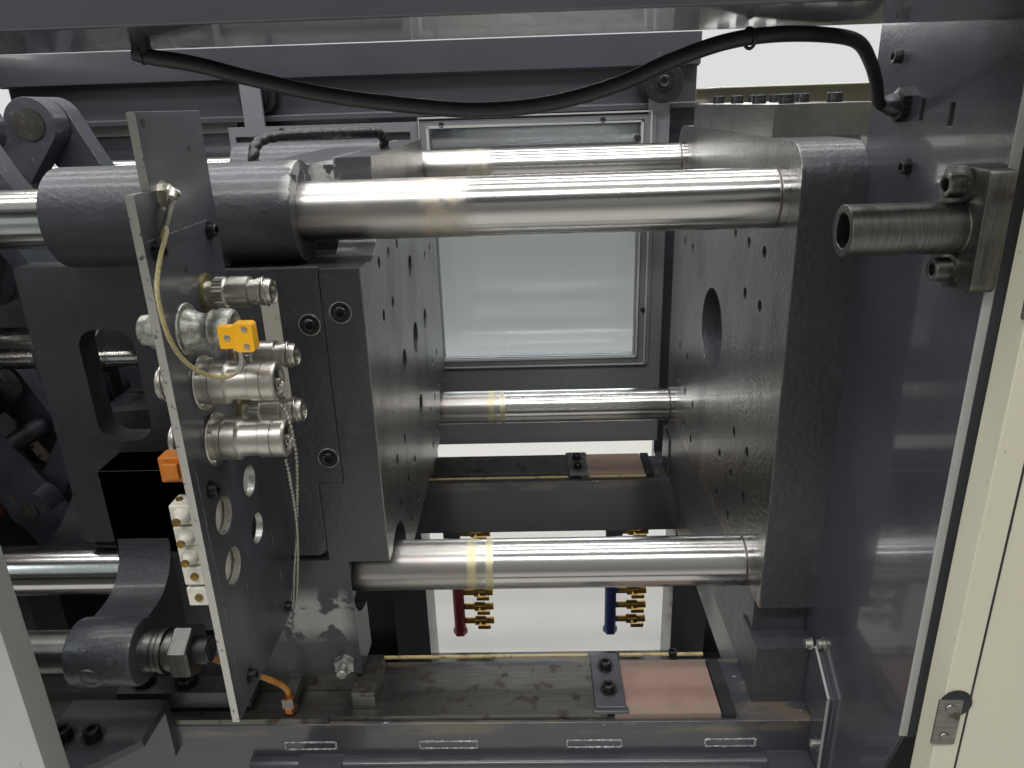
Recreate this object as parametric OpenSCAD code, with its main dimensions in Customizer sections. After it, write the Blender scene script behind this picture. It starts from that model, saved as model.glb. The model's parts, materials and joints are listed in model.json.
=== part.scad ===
// Horizontal injection moulding machine with a double toggle clamp.
// Origin: centre of the fixed platen's locating bore, on its mould face.
// +X runs along the tie bars to the injection unit, +Z is up, Y points away from the operator.
// All sizes are in millimetres.

/* [Platens] */
// Spacing of the tie bars from front to rear
tie_pitch_y = 586; // [570:2:600]
// Spacing of the tie bars from bottom to top
tie_pitch_z = 496; // [490:2:506]
// Diameter of the tie bars
tie_d = 70; // [60:1:74]
// Width of the platens outside each tie bar's axis
platen_edge = 62; // [57:1:72]
// Height of the platens' top edge above the machine axis
platen_top = 312; // [306:1:320]
// Depth of the platens' bottom edge below the machine axis
platen_drop = 283; // [278:1:288]
// Thickness of the fixed platen
fixed_t = 190; // [170:2:220]
// Opening between the two mould faces
daylight = 490; // [470:5:520]
// Pitch of the mould bolt holes
hole_pitch = 70; // [68:0.5:72]
// Diameter of the mould bolt holes
mould_hole_d = 16; // [12:0.5:20]
// Diameter of the locating bore
locating_d = 140; // [120:5:150]
// Diameter of the nozzle's passage
nozzle_hole_d = 110; // [100:2:120]

/* [Toggle] */
// Length of each main link, pin to pin
link_len = 310; // [300:1:315]
// Angle of the main links at rest, clamp open
open_angle = 58; // [56:0.5:59]
// Height of the outer pins above and below the axis
pin_rise = 90; // [86:1:92]
// Diameter of the main pins
pin_d = 50; // [40:1:54]
// Distance from the rear pin to the drive link's pin
drive_len = 200; // [195:1:205]
// Diameter of the drive pins
drive_pin_d = 32; // [26:1:34]
// Diameter of the clamp screw
clamp_screw_d = 50; // [40:1:54]

/* [Bed] */
// Depth of the slideways below the axis
way_drop = 417; // [414:1:424]
// Height of the axis above the floor
axis_height = 1150; // [1100:10:1250]
// Width of one bed beam
beam_w = 120; // [112:2:126]
// Height of one bed beam
beam_h = 136; // [120:2:160]
// Length of the bed left of the fixed platen's face
bed_left = 2200; // [2150:10:2260]
// Length of the bed right of the fixed platen's face
bed_right = 2150; // [2100:10:2250]

/* [Guards] */
// Distance of the front guard plane from the platens' side
guard_gap = 285; // [281:1:295]
// Height of the front top beam's underside
top_beam_z = 411; // [408:1:416]
// Width of the sliding front door
front_door_w = 850; // [800:10:860]
// Width of the sliding rear door
rear_door_w = 960; // [940:10:980]
// Diameter of the rear door's rollers
roller_d = 83; // [76:1:86]

/* [Injection unit] */
// Outer diameter of the barrel
barrel_d = 90; // [80:2:96]
// Diameter of the plasticising screw
screw_d = 40; // [30:1:50]
// Gap between the nozzle's tip and the mould face
nozzle_gap = 60; // [40:5:80]

/* [Fits] */
// Radial clearance of turning and sliding fits
fit_gap = 0.06; // [0.02:0.01:0.1]
// Clearance between sliding faces
run_gap = 0.3; // [0.2:0.05:0.5]

/* [Hidden] */

// The four tie bars, given as [side, height] signs
tie_y = tie_pitch_y / 2;
tie_z = tie_pitch_z / 2;
tie_r = tie_d / 2;
CORNERS = [[-1, 1], [1, 1], [-1, -1], [1, -1]];
half_w = tie_y + platen_edge;
platen_w = 2 * half_w;
move_x = -daylight;

// Toggle geometry: rear pins A, front pins B, knees C, drive pins P, crosshead pins Q
b_depth = 440;
pin_b_x = move_x - b_depth;
pin_a_x = pin_b_x - 2 * link_len * cos(open_angle);
knee_x = pin_a_x + link_len * cos(open_angle);
knee_z = pin_rise + link_len * sin(open_angle);
drive_x = pin_a_x + drive_len * cos(open_angle);
drive_z = pin_rise + drive_len * sin(open_angle);
cross_x = pin_a_x + 2 * drive_len * cos(open_angle);
cross_far_x = pin_a_x + 2 * drive_len * cos(3);
pin_r = pin_d / 2;
drive_r = drive_pin_d / 2;
eye_r = pin_r + 17;
drive_eye_r = drive_r + 13;
// Lanes of the plates across the machine, from the middle outwards
DRIVE_LANE = [20, 50];
REAR_LANE = [60, 100];
FRONT_LANE = [105, 145];
OUTER_LANE = [150, 185];

// Rear platen
rear_face = pin_a_x - 100;
rear_t = 230;
rear_back = rear_face - rear_t;
rear_half_w = tie_y + 122;
rear_half_h = tie_z + 122;
sprocket_r = 102;
nut_r = 60;
nut_depth = 100;
guide_rod_y = 75;
guide_rod_r = 14;
guide_rod_end = cross_far_x + 21;

// Fixed platen
slab = 72;
back_half_w = half_w - 25;
mould_hole_depth = 40;
locating_depth = 30;
nut_end = fixed_t + 55;

// Moving platen
slab_side = 48;
slab_low = 80;
cast_back = move_x - 166;
boss_r = tie_r + 24;
notch_r = tie_r + 27;
boss_near = move_x - 73;
boss_far = move_x - 360;
side_plate_t = 12;
cast_half = half_w - side_plate_t;
notch_top = 190;
leg_x = move_x - 55;

// Bed
bed_top = -way_drop;
beam_in = tie_y - 8;
beam_out = beam_in + beam_w;
beam_low = bed_top - beam_h;
foot_h = 60;
skid_h = 100;
skid_low = -axis_height + foot_h;
way_t = 9;
chute_left = move_x - 30;
chute_right = -20;
POST_X = [-2120, -1480, -600, 60, 1000, 2050];
post_w = 80;

// Guards
guard_y = half_w + guard_gap;
bulk_x = slab;
bulk_t = 6;
bulk_in = back_half_w + 6;
bulk_out = guard_y - 43;
bulk_low = -470;
bulk_high = 560;
cover_x = bulk_x + bulk_t + 2;
cover_end = bed_right - 30;
cover_top = 380;
sheet = 3;
hood_x = rear_back + 60;
hood_end = -bed_left - 60;
door_edge = -778;
door_low = -440;
door_high = top_beam_z - 6;
door_t = 30;
rail_low = 340;
rear_door_y = half_w + 165;
rear_door_t = 28;
rear_edge = 10;
roller_r = roller_d / 2;
roller_z = rail_low + 12 + run_gap + roller_r;
roller_y = rear_door_y + rear_door_t + 8;
rail_y = roller_y + 34;
rail_t = 30;
ROLLER_X = [rear_edge - 23, rear_edge - rear_door_w + 60];

// Connector bracket and the arm of the safety rod
bracket_x = move_x - 133;
bracket_t = 8;
bracket_face = bracket_x + bracket_t / 2;
side_y = -half_w;
BRACKET = [[side_y - 220, -254], [side_y - 38, -254], [side_y - 1, -203], [side_y - 1, 40],
  [side_y - 62, 130], [side_y - 62, 364], [side_y - 191, 364], [side_y - 191, 300], [side_y - 220, 300]];
// Couplings on the bracket, given as [distance from the platen's side, z, body radius, length]
COUPLINGS = [[173, 172, 19, 75], [160, 114, 21, 75], [157, 52, 21, 75],
  [115, 193, 14, 66], [70, 112, 14, 64], [73, 48, 14, 66]];
arm_y = side_y - 115;
arm_z = -245;
arm_r = 52;
arm_x = move_x - 361;
arm_t = 81;
rod_r = 25;

// Injection unit
nozzle_x = nozzle_gap;
barrel_x = nozzle_x + 190;
barrel_end = barrel_x + 760;
barrel_r = barrel_d / 2;
screw_r = screw_d / 2;
carriage_x = barrel_end;
carriage_end = carriage_x + 560;

// Ejector
eject_x = move_x - 280;
eject_t = 25;
eject_post_y = 85;
bridge_x = move_x - 342;
eject_ram_z = 48;
eject_ram_r = 9;
EJECT_PINS = [[0, 0], [0, 120], [0, -120], [-120, 0], [120, 0]];
eject_pin_r = 14;

// Helpers that lay the basic forms along the machine's axes
module block(x0, x1, y0, y1, z0, z1)
  translate([x0, y0, z0]) cube([x1 - x0, y1 - y0, z1 - z0]);
module rod_x(r, x0, x1, y = 0, z = 0, fn = 48)
  translate([x0, y, z]) rotate([0, 90, 0]) cylinder(r = r, h = x1 - x0, $fn = fn);
module rod_y(r, y0, y1, x = 0, z = 0, fn = 48)
  translate([x, y0, z]) rotate([-90, 0, 0]) cylinder(r = r, h = y1 - y0, $fn = fn);
module rod_z(r, z0, z1, x = 0, y = 0, fn = 48)
  translate([x, y, z0]) cylinder(r = r, h = z1 - z0, $fn = fn);
// A (y, z) outline carried along X
module along_x(x0, x1)
  translate([x0, 0, 0]) rotate([90, 0, 90]) linear_extrude(x1 - x0) children();
// An (x, z) outline carried along Y
module along_y(y0, y1)
  translate([0, y1, 0]) rotate([90, 0, 0]) linear_extrude(y1 - y0) children();
// Points on an arc, for outlines
function arc(cx, cy, r, a0, a1, n = 6) =
  [for (i = [0:n]) [cx + r * cos(a0 + (a1 - a0) * i / n), cy + r * sin(a0 + (a1 - a0) * i / n)]];
// A rectangle with four round corners
function round_rect(x0, x1, y0, y1, r) = concat(
  arc(x1 - r, y1 - r, r, 0, 90), arc(x0 + r, y1 - r, r, 90, 180),
  arc(x0 + r, y0 + r, r, 180, 270), arc(x1 - r, y0 + r, r, 270, 360));
module at_corners() for (c = CORNERS) translate([0, c[0] * tie_y, c[1] * tie_z]) children();
module both_sides() for (s = [-1, 1]) scale([1, s, 1]) children();
// A socket head screw with its head's top at the origin, pointing to +X
module socket_head_x(d = 12, key = 6) {
  difference() {
    rod_x(d / 2 + 3, 0, d, fn = 24);
    rod_x(key / 2 + 1, -1, d / 2, fn = 6);
  }
}

// A swept round tube through hand-set points, used for cords and hoses
function unit(v) = v / norm(v);
function heading(p, i) = unit(p[min(i + 1, len(p) - 1)] - p[max(i - 1, 0)]);
function side_of(t) = unit(cross(t, abs(t[2]) > 0.9 ? [1, 0, 0] : [0, 0, 1]));
function bend(p, i, s) = let (a = p[max(i - 1, 0)], b = p[i], c = p[i + 1],
  d = p[min(i + 2, len(p) - 1)])
  0.5 * (2 * b + (c - a) * s + (2 * a - 5 * b + 4 * c - d) * s * s
    + (3 * b - a - 3 * c + d) * s * s * s);
function smooth(p, n) = concat([for (i = [0:len(p) - 2]) for (k = [0:n - 1]) bend(p, i, k / n)],
  [p[len(p) - 1]]);
// The cords' points are set for this half width of the platens, and move with their side
set_half_w = 355;
module side_cord(points, d) translate([0, set_half_w - half_w, 0]) cord(points, d);
module cord(points, d, sides = 8, steps = 3) {
  path = smooth(points, steps);
  count = len(path);
  rings = [for (i = [0:count - 1]) let (t = heading(path, i), u = side_of(t), v = cross(t, u))
    for (k = [0:sides - 1]) path[i] + d / 2 * (u * cos(360 * k / sides) + v * sin(360 * k / sides))];
  walls = [for (i = [0:count - 2]) for (k = [0:sides - 1]) let (n = (k + 1) % sides)
    each [[i * sides + k, (i + 1) * sides + k, (i + 1) * sides + n],
      [i * sides + k, (i + 1) * sides + n, i * sides + n]]];
  ends = [[for (k = [0:sides - 1]) k], [for (k = [sides - 1:-1:0]) (count - 1) * sides + k]];
  polyhedron(rings, concat(walls, ends));
}

// Welded bed: two long beams on skids, with posts, cross members and the open part chute
module bed_frame() color("#41434b") {
  difference() {
    union() {
      for (s = [-1, 1]) {
        y_low = s < 0 ? -beam_out : beam_in;
        block(-bed_left, bed_right, y_low, y_low + beam_w, beam_low, bed_top - way_t);
        block(-bed_left, bed_right, y_low, y_low + beam_w, skid_low, skid_low + skid_h);
        for (x = POST_X) block(x - post_w / 2, x + post_w / 2, y_low, y_low + beam_w,
          skid_low + skid_h, beam_low);
      }
      for (x = POST_X) {
        block(x - post_w / 2, x + post_w / 2, -beam_in, beam_in, skid_low, skid_low + skid_h);
        if (x < chute_left - post_w || x > chute_right)
          block(x - post_w / 2, x + post_w / 2, -beam_in, beam_in, beam_low, bed_top - 60);
      }
      // Arms that carry the front door's lower rail and the rear posts
      for (x = [beam_left + 30, -600, 40])
        block(x - 30, x + 30, -guard_y, -beam_out, beam_low, door_low - 40);
      block(-1500, cover_x, -guard_y - 20, -guard_y + 20, door_low - 40, door_low - run_gap);
      for (x = [beam_left + 70, cover_x - 35]) block(x - 30, x + 30, beam_out, rail_y + rail_t,
        beam_low, beam_low + 50);
      // Side sheets that close the bed between its posts
      for (s = [-1, 1]) for (i = [0, 1, 3, 4])
        block(POST_X[i] + post_w / 2, POST_X[i + 1] - post_w / 2, s * (beam_out - 10) - sheet,
          s * (beam_out - 10) + sheet, skid_low + skid_h, beam_low);
    }
    // Round cable holes through the posts' cross members
    for (x = [POST_X[0], POST_X[1], POST_X[4]]) rod_x(22, x - post_w, x + post_w, 0, bed_top - 90);
  }
}

module leveling_feet() color("#2c2c30") {
  for (x = POST_X) both_sides() {
    y = beam_in + beam_w / 2;
    rod_z(60, -axis_height, -axis_height + 22, x, y);
    rod_z(16, -axis_height + 22, skid_low, x, y, 24);
  }
}

// Hardened slideway strips on the bed beams, with end stops and wipers
module slide_rails() color("#6b6a66") {
  both_sides() {
    block(-bed_left + 500, chute_left - 66, beam_in, beam_out, bed_top - way_t, bed_top);
    block(chute_left - 66, -205, beam_in + 20, beam_out - 4, bed_top - way_t, bed_top);
    block(-195, -52, beam_in + 12, beam_out - 4, bed_top - way_t, bed_top);
    block(-50, -32, beam_in + 12, beam_out - 4, bed_top - way_t, bed_top + 1);
    // Rails of the injection carriage
    block(fixed_t + 130, bed_right - 60, 318, 348, bed_top - way_t, bed_top + 28);
  }
}

// Clamp plates with their socket screws, one on each beam in the open mould space
module rail_clamps() color("#4d4d50") {
  both_sides() {
    block(-221, -179, beam_in + 6, beam_out - 8, bed_top, bed_top + 8);
    for (y = [beam_in + 34, beam_out - 36]) translate([-200, y, bed_top + 18]) rotate([0, 90, 0])
      socket_head_x(10);
  }
}

// Outline of the platens' mould side
function platen_outline(top) = concat(
  arc(half_w - 45, top - 45, 45, 0, 90), arc(-half_w + 45, top - 45, 45, 90, 180),
  [[-half_w, -platen_drop], [half_w, -platen_drop]]);
HOLES = [[1.5, 2.5], [2.5, 2.5], [3.5, 2.5], [2.5, 1.5], [3.5, 1.5]];
module mould_holes(x0, x1) {
  for (h = HOLES) for (c = CORNERS)
    rod_x(mould_hole_d / 2, x0, x1, c[0] * h[0] * hole_pitch, c[1] * h[1] * hole_pitch, 24);
  for (h = [1.5, 2.5]) for (s = [-1, 1])
    rod_x(mould_hole_d / 2, x0, x1, s * h * hole_pitch, -3.5 * hole_pitch, 24);
}

module fixed_platen() color("#4a4c55") {
  difference() {
    union() {
      along_x(0, slab) polygon(platen_outline(platen_top));
      // The centre reaches down to the bed, the back is narrower and ribbed
      block(0, fixed_t, -half_w + 35, half_w - 35, bed_top - way_t, -platen_drop);
      block(slab, fixed_t, -back_half_w, back_half_w, -platen_drop, platen_top - 12);
      both_sides() {
        block(-3, slab, half_w - 55, half_w + 17, bed_top - way_t, -platen_drop - 52);
        block(0, slab, half_w - 55, half_w - 20, -platen_drop - 52, -platen_drop);
        block(slab, fixed_t, half_w - 70, half_w - 30, bed_top - way_t, -platen_drop);
        block(fixed_t, fixed_t + 120, half_w - 70, half_w - 30, bed_top - way_t, -platen_drop - 40);
      }
    }
    rod_x(locating_d / 2, -1, locating_depth, fn = 96);
    rod_x(nozzle_hole_d / 2, 0, fixed_t + 1, fn = 64);
    translate([fixed_t - 90, 0, 0]) rotate([0, 90, 0])
      cylinder(r1 = nozzle_hole_d / 2, r2 = nozzle_hole_d / 2 + 70, h = 91, $fn = 64);
    at_corners() rod_x(tie_r + fit_gap, -1, fixed_t + 1, fn = 64);
    mould_holes(-1, mould_hole_depth);
    // Pockets in the ribbed back
    for (s = [-1, 1]) for (t = [-1, 1])
      block(fixed_t - 70, fixed_t + 1, s * 190 - 55, s * 190 + 55, t * 140 - 45, t * 140 + 45);
    for (p = ROBOT_HOLES) rod_z(6, platen_top - 55, platen_top + 1, p[0], p[1], 24);
  }
}

// Ground plate on the fixed platen's top that takes a take-out device
robot_x0 = 2;
robot_x1 = 122;
robot_y = 230;
robot_t = 38;
ROBOT_HOLES = [for (x = [32, 92]) for (y = [-180, -60, 60, 180]) [x, y]];
module robot_mount_plate() color("#9a9a96") {
  difference() {
    union() {
      block(robot_x0, robot_x1, -robot_y, robot_y, platen_top, platen_top + robot_t);
      both_sides() block(slab + 6, robot_x1, 120, 200, platen_top - 12, platen_top);
    }
    for (p = ROBOT_HOLES) rod_z(6, platen_top - 13, platen_top + robot_t + 1, p[0], p[1], 24);
  }
}

// Socket and hexagon screws that hold the bulkhead, the guide tube and the covers
module machine_bolts() color("#2f2f33") {
  for (p = [[33, 392], [82, 291], [65, 60], [65, -160]])
    translate([bulk_x - 7, side_y - p[0], p[1]]) socket_head_x(7, 4);
  for (z = [-372, -440]) translate([bulk_x - bulk_t - 7, side_y - 77, z]) socket_head_x(7, 4);
  // Gland where the door cable passes the bulkhead
  rod_x(10, bulk_x - 14, bulk_x, GLAND[0], GLAND[1], 6);
  for (z = [-34, 34]) translate([tube_face - 22, tube_y, tube_z + z]) {
    rod_x(8, 10, 22, fn = 24);
    difference() {
      rod_x(11, 0, 10, fn = 24);
      rod_x(5, -1, 5, fn = 6);
    }
  }
}

module tie_bars() color("#b9b7ae") at_corners() {
  rod_x(tie_r, rear_back - 130, fixed_t + 80, fn = 64);
}

module tie_bar_nuts() color("#55565a") at_corners() difference() {
  rod_x(58, fixed_t, nut_end, fn = 6);
  rod_x(tie_r + fit_gap, fixed_t - 1, nut_end + 1, fn = 64);
}

// Glossy sheet wall between the mould space and the injection unit
module bulkhead_plate() color("#3b3d44") difference() {
  union() {
    along_x(bulk_x, bulk_x + bulk_t)
      polygon([[-bulk_in, bed_top], [-bulk_in, bulk_high], [-bulk_out, bulk_high],
        [-bulk_out, -260], [-bulk_out + 70, bulk_low], [-beam_out - 1, bulk_low], [-beam_out - 1, bed_top]]);
    // Lower corner plate bolted in front of it
    along_x(bulk_x - bulk_t, bulk_x)
      polygon([[side_y - 21, -335], [side_y - 41, -315], [side_y - 95, -350], [side_y - 95, bulk_low],
        [-beam_out - 1, bulk_low], [-beam_out - 1, bed_top], [side_y - 21, bed_top]]);
    // Folded edge behind the front edge
    block(bulk_x + bulk_t, bulk_x + 30, -bulk_out, -bulk_out + bulk_t, -260, bulk_high);
  }
  for (p = [[92, 343], [145, 340]])
    block(bulk_x - 1, bulk_x + bulk_t + 1, side_y - p[0] - 4, side_y - p[0] + 4, p[1] - 10, p[1] + 10);
}

// Stub tube with a bolted flange, its bore open to the mould space
tube_y = 65 - guard_y;
tube_z = 255;
tube_r = 21;
tube_bore_r = 14;
tube_len = 92;
tube_face = bulk_x - 20;
module guide_tube() color("#5a5a56") difference() {
  union() {
    along_x(tube_face, bulk_x) polygon(round_rect(tube_y - 34, tube_y + 34, tube_z - 48, tube_z + 48, 8));
    rod_x(tube_r, tube_face - tube_len, tube_face + 1, tube_y, tube_z);
  }
  rod_x(tube_bore_r, tube_face - tube_len - 1, bulk_x + 1, tube_y, tube_z);
}

// Folded top beam over the front door, with its left post
beam_y0 = -guard_y - 65;
beam_y1 = -guard_y + 105;
beam_left = -1500;
module front_top_beam() color("#43454c") {
  difference() {
    block(beam_left, bulk_x, beam_y0, beam_y1, top_beam_z, top_beam_z + 95);
    block(beam_left - 1, bulk_x + 1, beam_y0 + 8, beam_y1 - 8, top_beam_z + 8, top_beam_z + 96);
  }
  block(beam_left, beam_left + 60, -guard_y + 40, -guard_y + 100, door_low - 40, top_beam_z);
}

// Rear rail with a lower lip for the door's rollers, and its two posts
module rear_top_rail() color("#43454c") {
  x0 = beam_left + 40;
  x1 = cover_x - 2;
  block(x0, x1, rail_y, rail_y + rail_t, rail_low, rail_low + 112);
  block(x0, x1, roller_y - 6, rail_y, rail_low, rail_low + 12);
  for (x = [x0, x1 - 63]) block(x, x + 60, rail_y, rail_y + rail_t, beam_low + 50, rail_low);
}

// Black cable hung under the front beam, tied at both ends
GLAND = [side_y - 57, 348];
DOOR_CABLE = [[-585, -598, 404.5], [-572, -598, 401], [-540, -598, 395], [-500, -598, 384],
  [-440, -598, 370], [-361, -598, 359], [-316, -598, 357], [-271, -598, 361], [-226, -598, 372],
  [-190, -597, 386], [-150, -592, 398], [-110, -580, 403], [-60, -548, 403.5], [-20, -510, 400],
  [10, -468, 386], [30, -440, 368], [42, -420, 354], [50, -412.5, 348.3],
  [bulk_x - 14.3, -412, 348]];
module door_cable() color("#1b1b1d") side_cord(DOOR_CABLE, 11.5);

// Sheet covers beside the injection unit, open between them for the barrel
module injection_covers() color("#c4c1ad") {
  both_sides() {
    difference() {
      union() {
        block(cover_x, cover_end, guard_y - 30, guard_y, skid_low + skid_h, cover_top);
        block(cover_x + 26, cover_end, guard_y - 160, guard_y - 30, cover_top - 30, cover_top);
      }
      block(cover_x + sheet, cover_end - sheet, guard_y - 31, guard_y - sheet,
        skid_low + skid_h + sheet, cover_top - sheet);
      block(cover_x + sheet, cover_end - sheet, guard_y - 161, guard_y - 29,
        cover_top - 31, cover_top - sheet);
    }
    for (x = [700, 1400, 2000]) block(x - 20, x + 20, beam_out, guard_y - sheet, beam_low, beam_low + 40);
  }
}

// Hood over the clamp end, open below and towards the platens
module clamp_end_cover() color("#c4c1ad") {
  difference() {
    block(hood_end, hood_x, -600, 600, bed_top, 500);
    block(hood_end + 20, hood_x + 1, -580, 580, bed_top - 1, 480);
    for (z = [-200:60:100]) block(hood_end - 1, hood_end + 21, -300, 300, z, z + 20);
  }
  // Bars that carry the hood on the bed beams
  for (x = [-bed_left + 10, -bed_left + 460]) both_sides()
    block(x, x + 30, beam_out - 60, 590, bed_top - way_t, bed_top + 13);
}

// Operator's panel with a sloping screen face and two rows of keys
panel_x = 330;
panel_w = 380;
panel_z = 10;
module control_panel() color("#d2d0c4") {
  difference() {
    translate([panel_x, 0, 0]) rotate([90, 0, 90]) linear_extrude(panel_w)
      polygon([[-guard_y, panel_z], [-guard_y - 120, panel_z], [-guard_y - 120, panel_z + 90],
        [-guard_y - 60, panel_z + 360], [-guard_y, panel_z + 360]]);
    translate([panel_x + 40, -guard_y - 122, panel_z + 100]) rotate([-12.5, 0, 0])
      cube([panel_w - 80, 10, 200]);
    rod_y(stop_r + fit_gap, -guard_y - 121, -guard_y - 90, panel_x + panel_w - 50, panel_z + 45);
  }
  for (i = [0:6]) for (k = [0, 1])
    block(panel_x + 30 + 36 * i, panel_x + 56 + 36 * i, -guard_y - 123, -guard_y - 120,
      panel_z + 14 + 34 * k, panel_z + 38 + 34 * k);
}

stop_r = 12;
module stop_button() color("#b3201c") {
  x = panel_x + panel_w - 50;
  z = panel_z + 45;
  rod_y(stop_r, -guard_y - 135, -guard_y - 96, x, z);
  rod_y(20, -guard_y - 147, -guard_y - 135, x, z);
}

// Supply and return pipes of the cooling water, upright behind the chute, with their ball valves
module water_manifold() color("#b08d4a") for (x = [move_x - 17, -105]) {
  y = beam_out + 60;
  z_low = skid_low + skid_h + 20;
  z_high = beam_low - 30;
  rod_z(15, z_low, z_high, x, y);
  for (z = [z_low - 4, z_high - 10]) rod_z(19, z, z + 14, x, y, 6);
  // Ball valves: nipple, hexagon body, lever and hose end
  for (z = [z_low + 35:45:z_high - 30]) {
    rod_x(8, x, x + 42, y, z, 24);
    rod_x(13, x + 42, x + 70, y, z, 6);
    rod_x(9, x + 70, x + 92, y, z, 24);
    rod_y(5, y - 24, y, x + 56, z, 24);
    block(x + 51, x + 84, y - 30, y - 24, z - 5, z + 5);
  }
  // Angle that carries the pipe on the rear beam
  block(x - 20, x + 20, beam_out, y, z_high - 60, z_high - 40);
  block(x - 20, x + 20, beam_out, beam_out + 8, z_high - 60, beam_low + 40);
}

// Rear platen of the clamp, with lugs for the rear links and pockets for the adjusting nuts
module eye_lug(x0, x1, z, r, lane) along_y(lane[0], lane[1]) {
  translate([x1, z]) circle(r, $fn = 48);
  polygon([[x1, z - r], [x1, z + r], [x0, z + r + 18], [x0, z - r - 12]]);
}
module rear_platen() color("#4a4c55") difference() {
  union() {
    along_x(rear_back, rear_face)
      polygon(round_rect(-rear_half_w, rear_half_w, -rear_half_h, rear_half_h, 60));
    both_sides() {
      for (z = [-1, 1]) for (lane = [DRIVE_LANE, FRONT_LANE]) scale([1, 1, z])
        eye_lug(rear_face, pin_a_x, pin_rise, eye_r, lane);
      block(rear_back + 20, rear_face, beam_in + 8, beam_out - 8, bed_top + run_gap, -rear_half_h + 60);
    }
    // Guide of the safety rod, bolted to the front side
    block(rear_face - 90, rear_face - 30, arm_y - 45, -rear_half_w + 1, arm_z - 45, arm_z + 45);
  }
  rod_x(clamp_screw_d / 2 + fit_gap, rear_back - 1, rear_face + 1, fn = 64);
  at_corners() {
    rod_x(nut_r + fit_gap, rear_face - nut_depth, rear_face + 1, fn = 64);
    rod_x(tie_r + 2, rear_back - 1, rear_face, fn = 64);
  }
  for (z = [-1, 1]) rod_y(pin_r + fit_gap, -FRONT_LANE[1] - 1, FRONT_LANE[1] + 1, pin_a_x, z * pin_rise);
  for (s = [-1, 1]) rod_x(guide_rod_r + fit_gap, rear_face - 60, rear_face + 1, s * guide_rod_y, 0);
  rod_x(rod_r + fit_gap, rear_face - 91, rear_face - 29, arm_y, arm_z);
  // Cored pockets in the back
  for (s = [-1, 1]) for (t = [-1, 1])
    block(rear_back - 1, rear_back + 90, s * 130 - 70, s * 130 + 70, t * 240 - 90, t * 240 + 90);
  for (s = [-1, 1]) block(rear_back - 1, rear_back + 90, s * 300 - 60, s * 300 + 60, -110, 110);
}

// Roller chain round the four sprockets: straight runs of links joined by quarter turns
chain_in = sprocket_r + run_gap;
chain_x = rear_face + 6;
chain_w = 14;
module chain_run(length) {
  pitch = 31.75;
  count = floor(length / pitch);
  translate([-length / 2, chain_in, -chain_w / 2]) difference() {
    cube([length, 15, chain_w]);
    for (i = [0:count - 1]) translate([length / 2 + (i - (count - 1) / 2) * pitch, 16, chain_w / 2])
      cube([10, 12, chain_w + 2], center = true);
  }
}
module adjust_chain() color("#6d4a35") translate([chain_x + chain_w / 2, 0, 0]) rotate([90, 0, 90]) {
  for (s = [0, 180]) rotate([0, 0, s]) translate([0, tie_z, 0]) chain_run(tie_pitch_y);
  for (s = [0, 180]) rotate([0, 0, s + 90]) translate([0, tie_y, 0]) chain_run(tie_pitch_z);
  for (i = [0:3]) {
    c = [[1, 1], [-1, 1], [-1, -1], [1, -1]][i];
    translate([c[0] * tie_y, c[1] * tie_z, -chain_w / 2]) rotate([0, 0, 90 * i])
      rotate_extrude(angle = 90, $fn = 48) translate([chain_in, 0]) square([15, chain_w]);
  }
}

// Clamp servo motor behind the rear platen, and the geared motor of the mould height drive
module platen_motors() color("#33343a") {
  difference() {
    union() {
      block(rear_back - 30, rear_back, -110, 110, -110, 110);
      rod_x(95, rear_back - 330, rear_back - 30);
      rod_x(80, rear_back - 420, rear_back - 330);
      for (i = [0:11]) rotate([30 * i, 0, 0]) block(rear_back - 325, rear_back - 35, -5, 5, 90, 104);
    }
    rod_x(clamp_screw_d / 2 + fit_gap, rear_back - 90, rear_back + 1, fn = 64);
  }
  translate([0, 0, rear_half_h]) {
    block(rear_face - 120, rear_face - 20, -60, 60, 0, 20);
    rod_x(42, rear_face - 210, rear_face - 20, 0, 50);
    rod_x(14, rear_face - 20, rear_face + 4, 0, 50, 24);
  }
}

// Pins of the rear links and the crosshead's two guide rods
module rear_pins() color("#a9a8a2") {
  for (z = [-1, 1]) rod_y(pin_r, -FRONT_LANE[1] - 3, FRONT_LANE[1] + 3, pin_a_x, z * pin_rise);
  for (s = [-1, 1]) rod_x(guide_rod_r, rear_face - 60, guide_rod_end, s * guide_rod_y, 0, 32);
}

// Adjusting nut with its chain sprocket, turning on a tie bar's thread
sprocket_teeth = 20;
module adjust_nut(c) color("#5f5a54") translate([0, c[0] * tie_y, c[1] * tie_z]) difference() {
  union() {
    rod_x(nut_r, rear_face - nut_depth + 2, rear_face + chain_w + 16, fn = 64);
    rod_x(sprocket_r, chain_x + 2, chain_x + chain_w - 2, fn = 64);
  }
  rod_x(tie_r + fit_gap, rear_face - nut_depth, rear_face + chain_w + 17, fn = 64);
  for (i = [0:sprocket_teeth - 1]) rotate([360 * i / sprocket_teeth, 0, 0])
    block(chain_x, chain_x + chain_w, -4, 4, sprocket_r - 9, sprocket_r + 1);
  for (i = [0:3]) rotate([90 * i, 0, 0])
    rod_x(6, rear_face + chain_w + 4, rear_face + chain_w + 17, 0, nut_r - 12, 24);
}

// One plate of a link, from its first pin at the origin along X, with a waisted outline
module link_plate(length, r, bore, lane) along_y(lane[0], lane[1]) difference() {
  union() {
    for (x = [0, length]) translate([x, 0]) circle(r, $fn = 48);
    polygon([[0, -r], [0, r], [length * 0.3, r * 0.72], [length * 0.7, r * 0.72], [length, r],
      [length, -r], [length * 0.7, -r * 0.72], [length * 0.3, -r * 0.72]]);
  }
  for (x = [0, length]) translate([x, 0]) circle(bore + fit_gap, $fn = 48);
}
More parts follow.
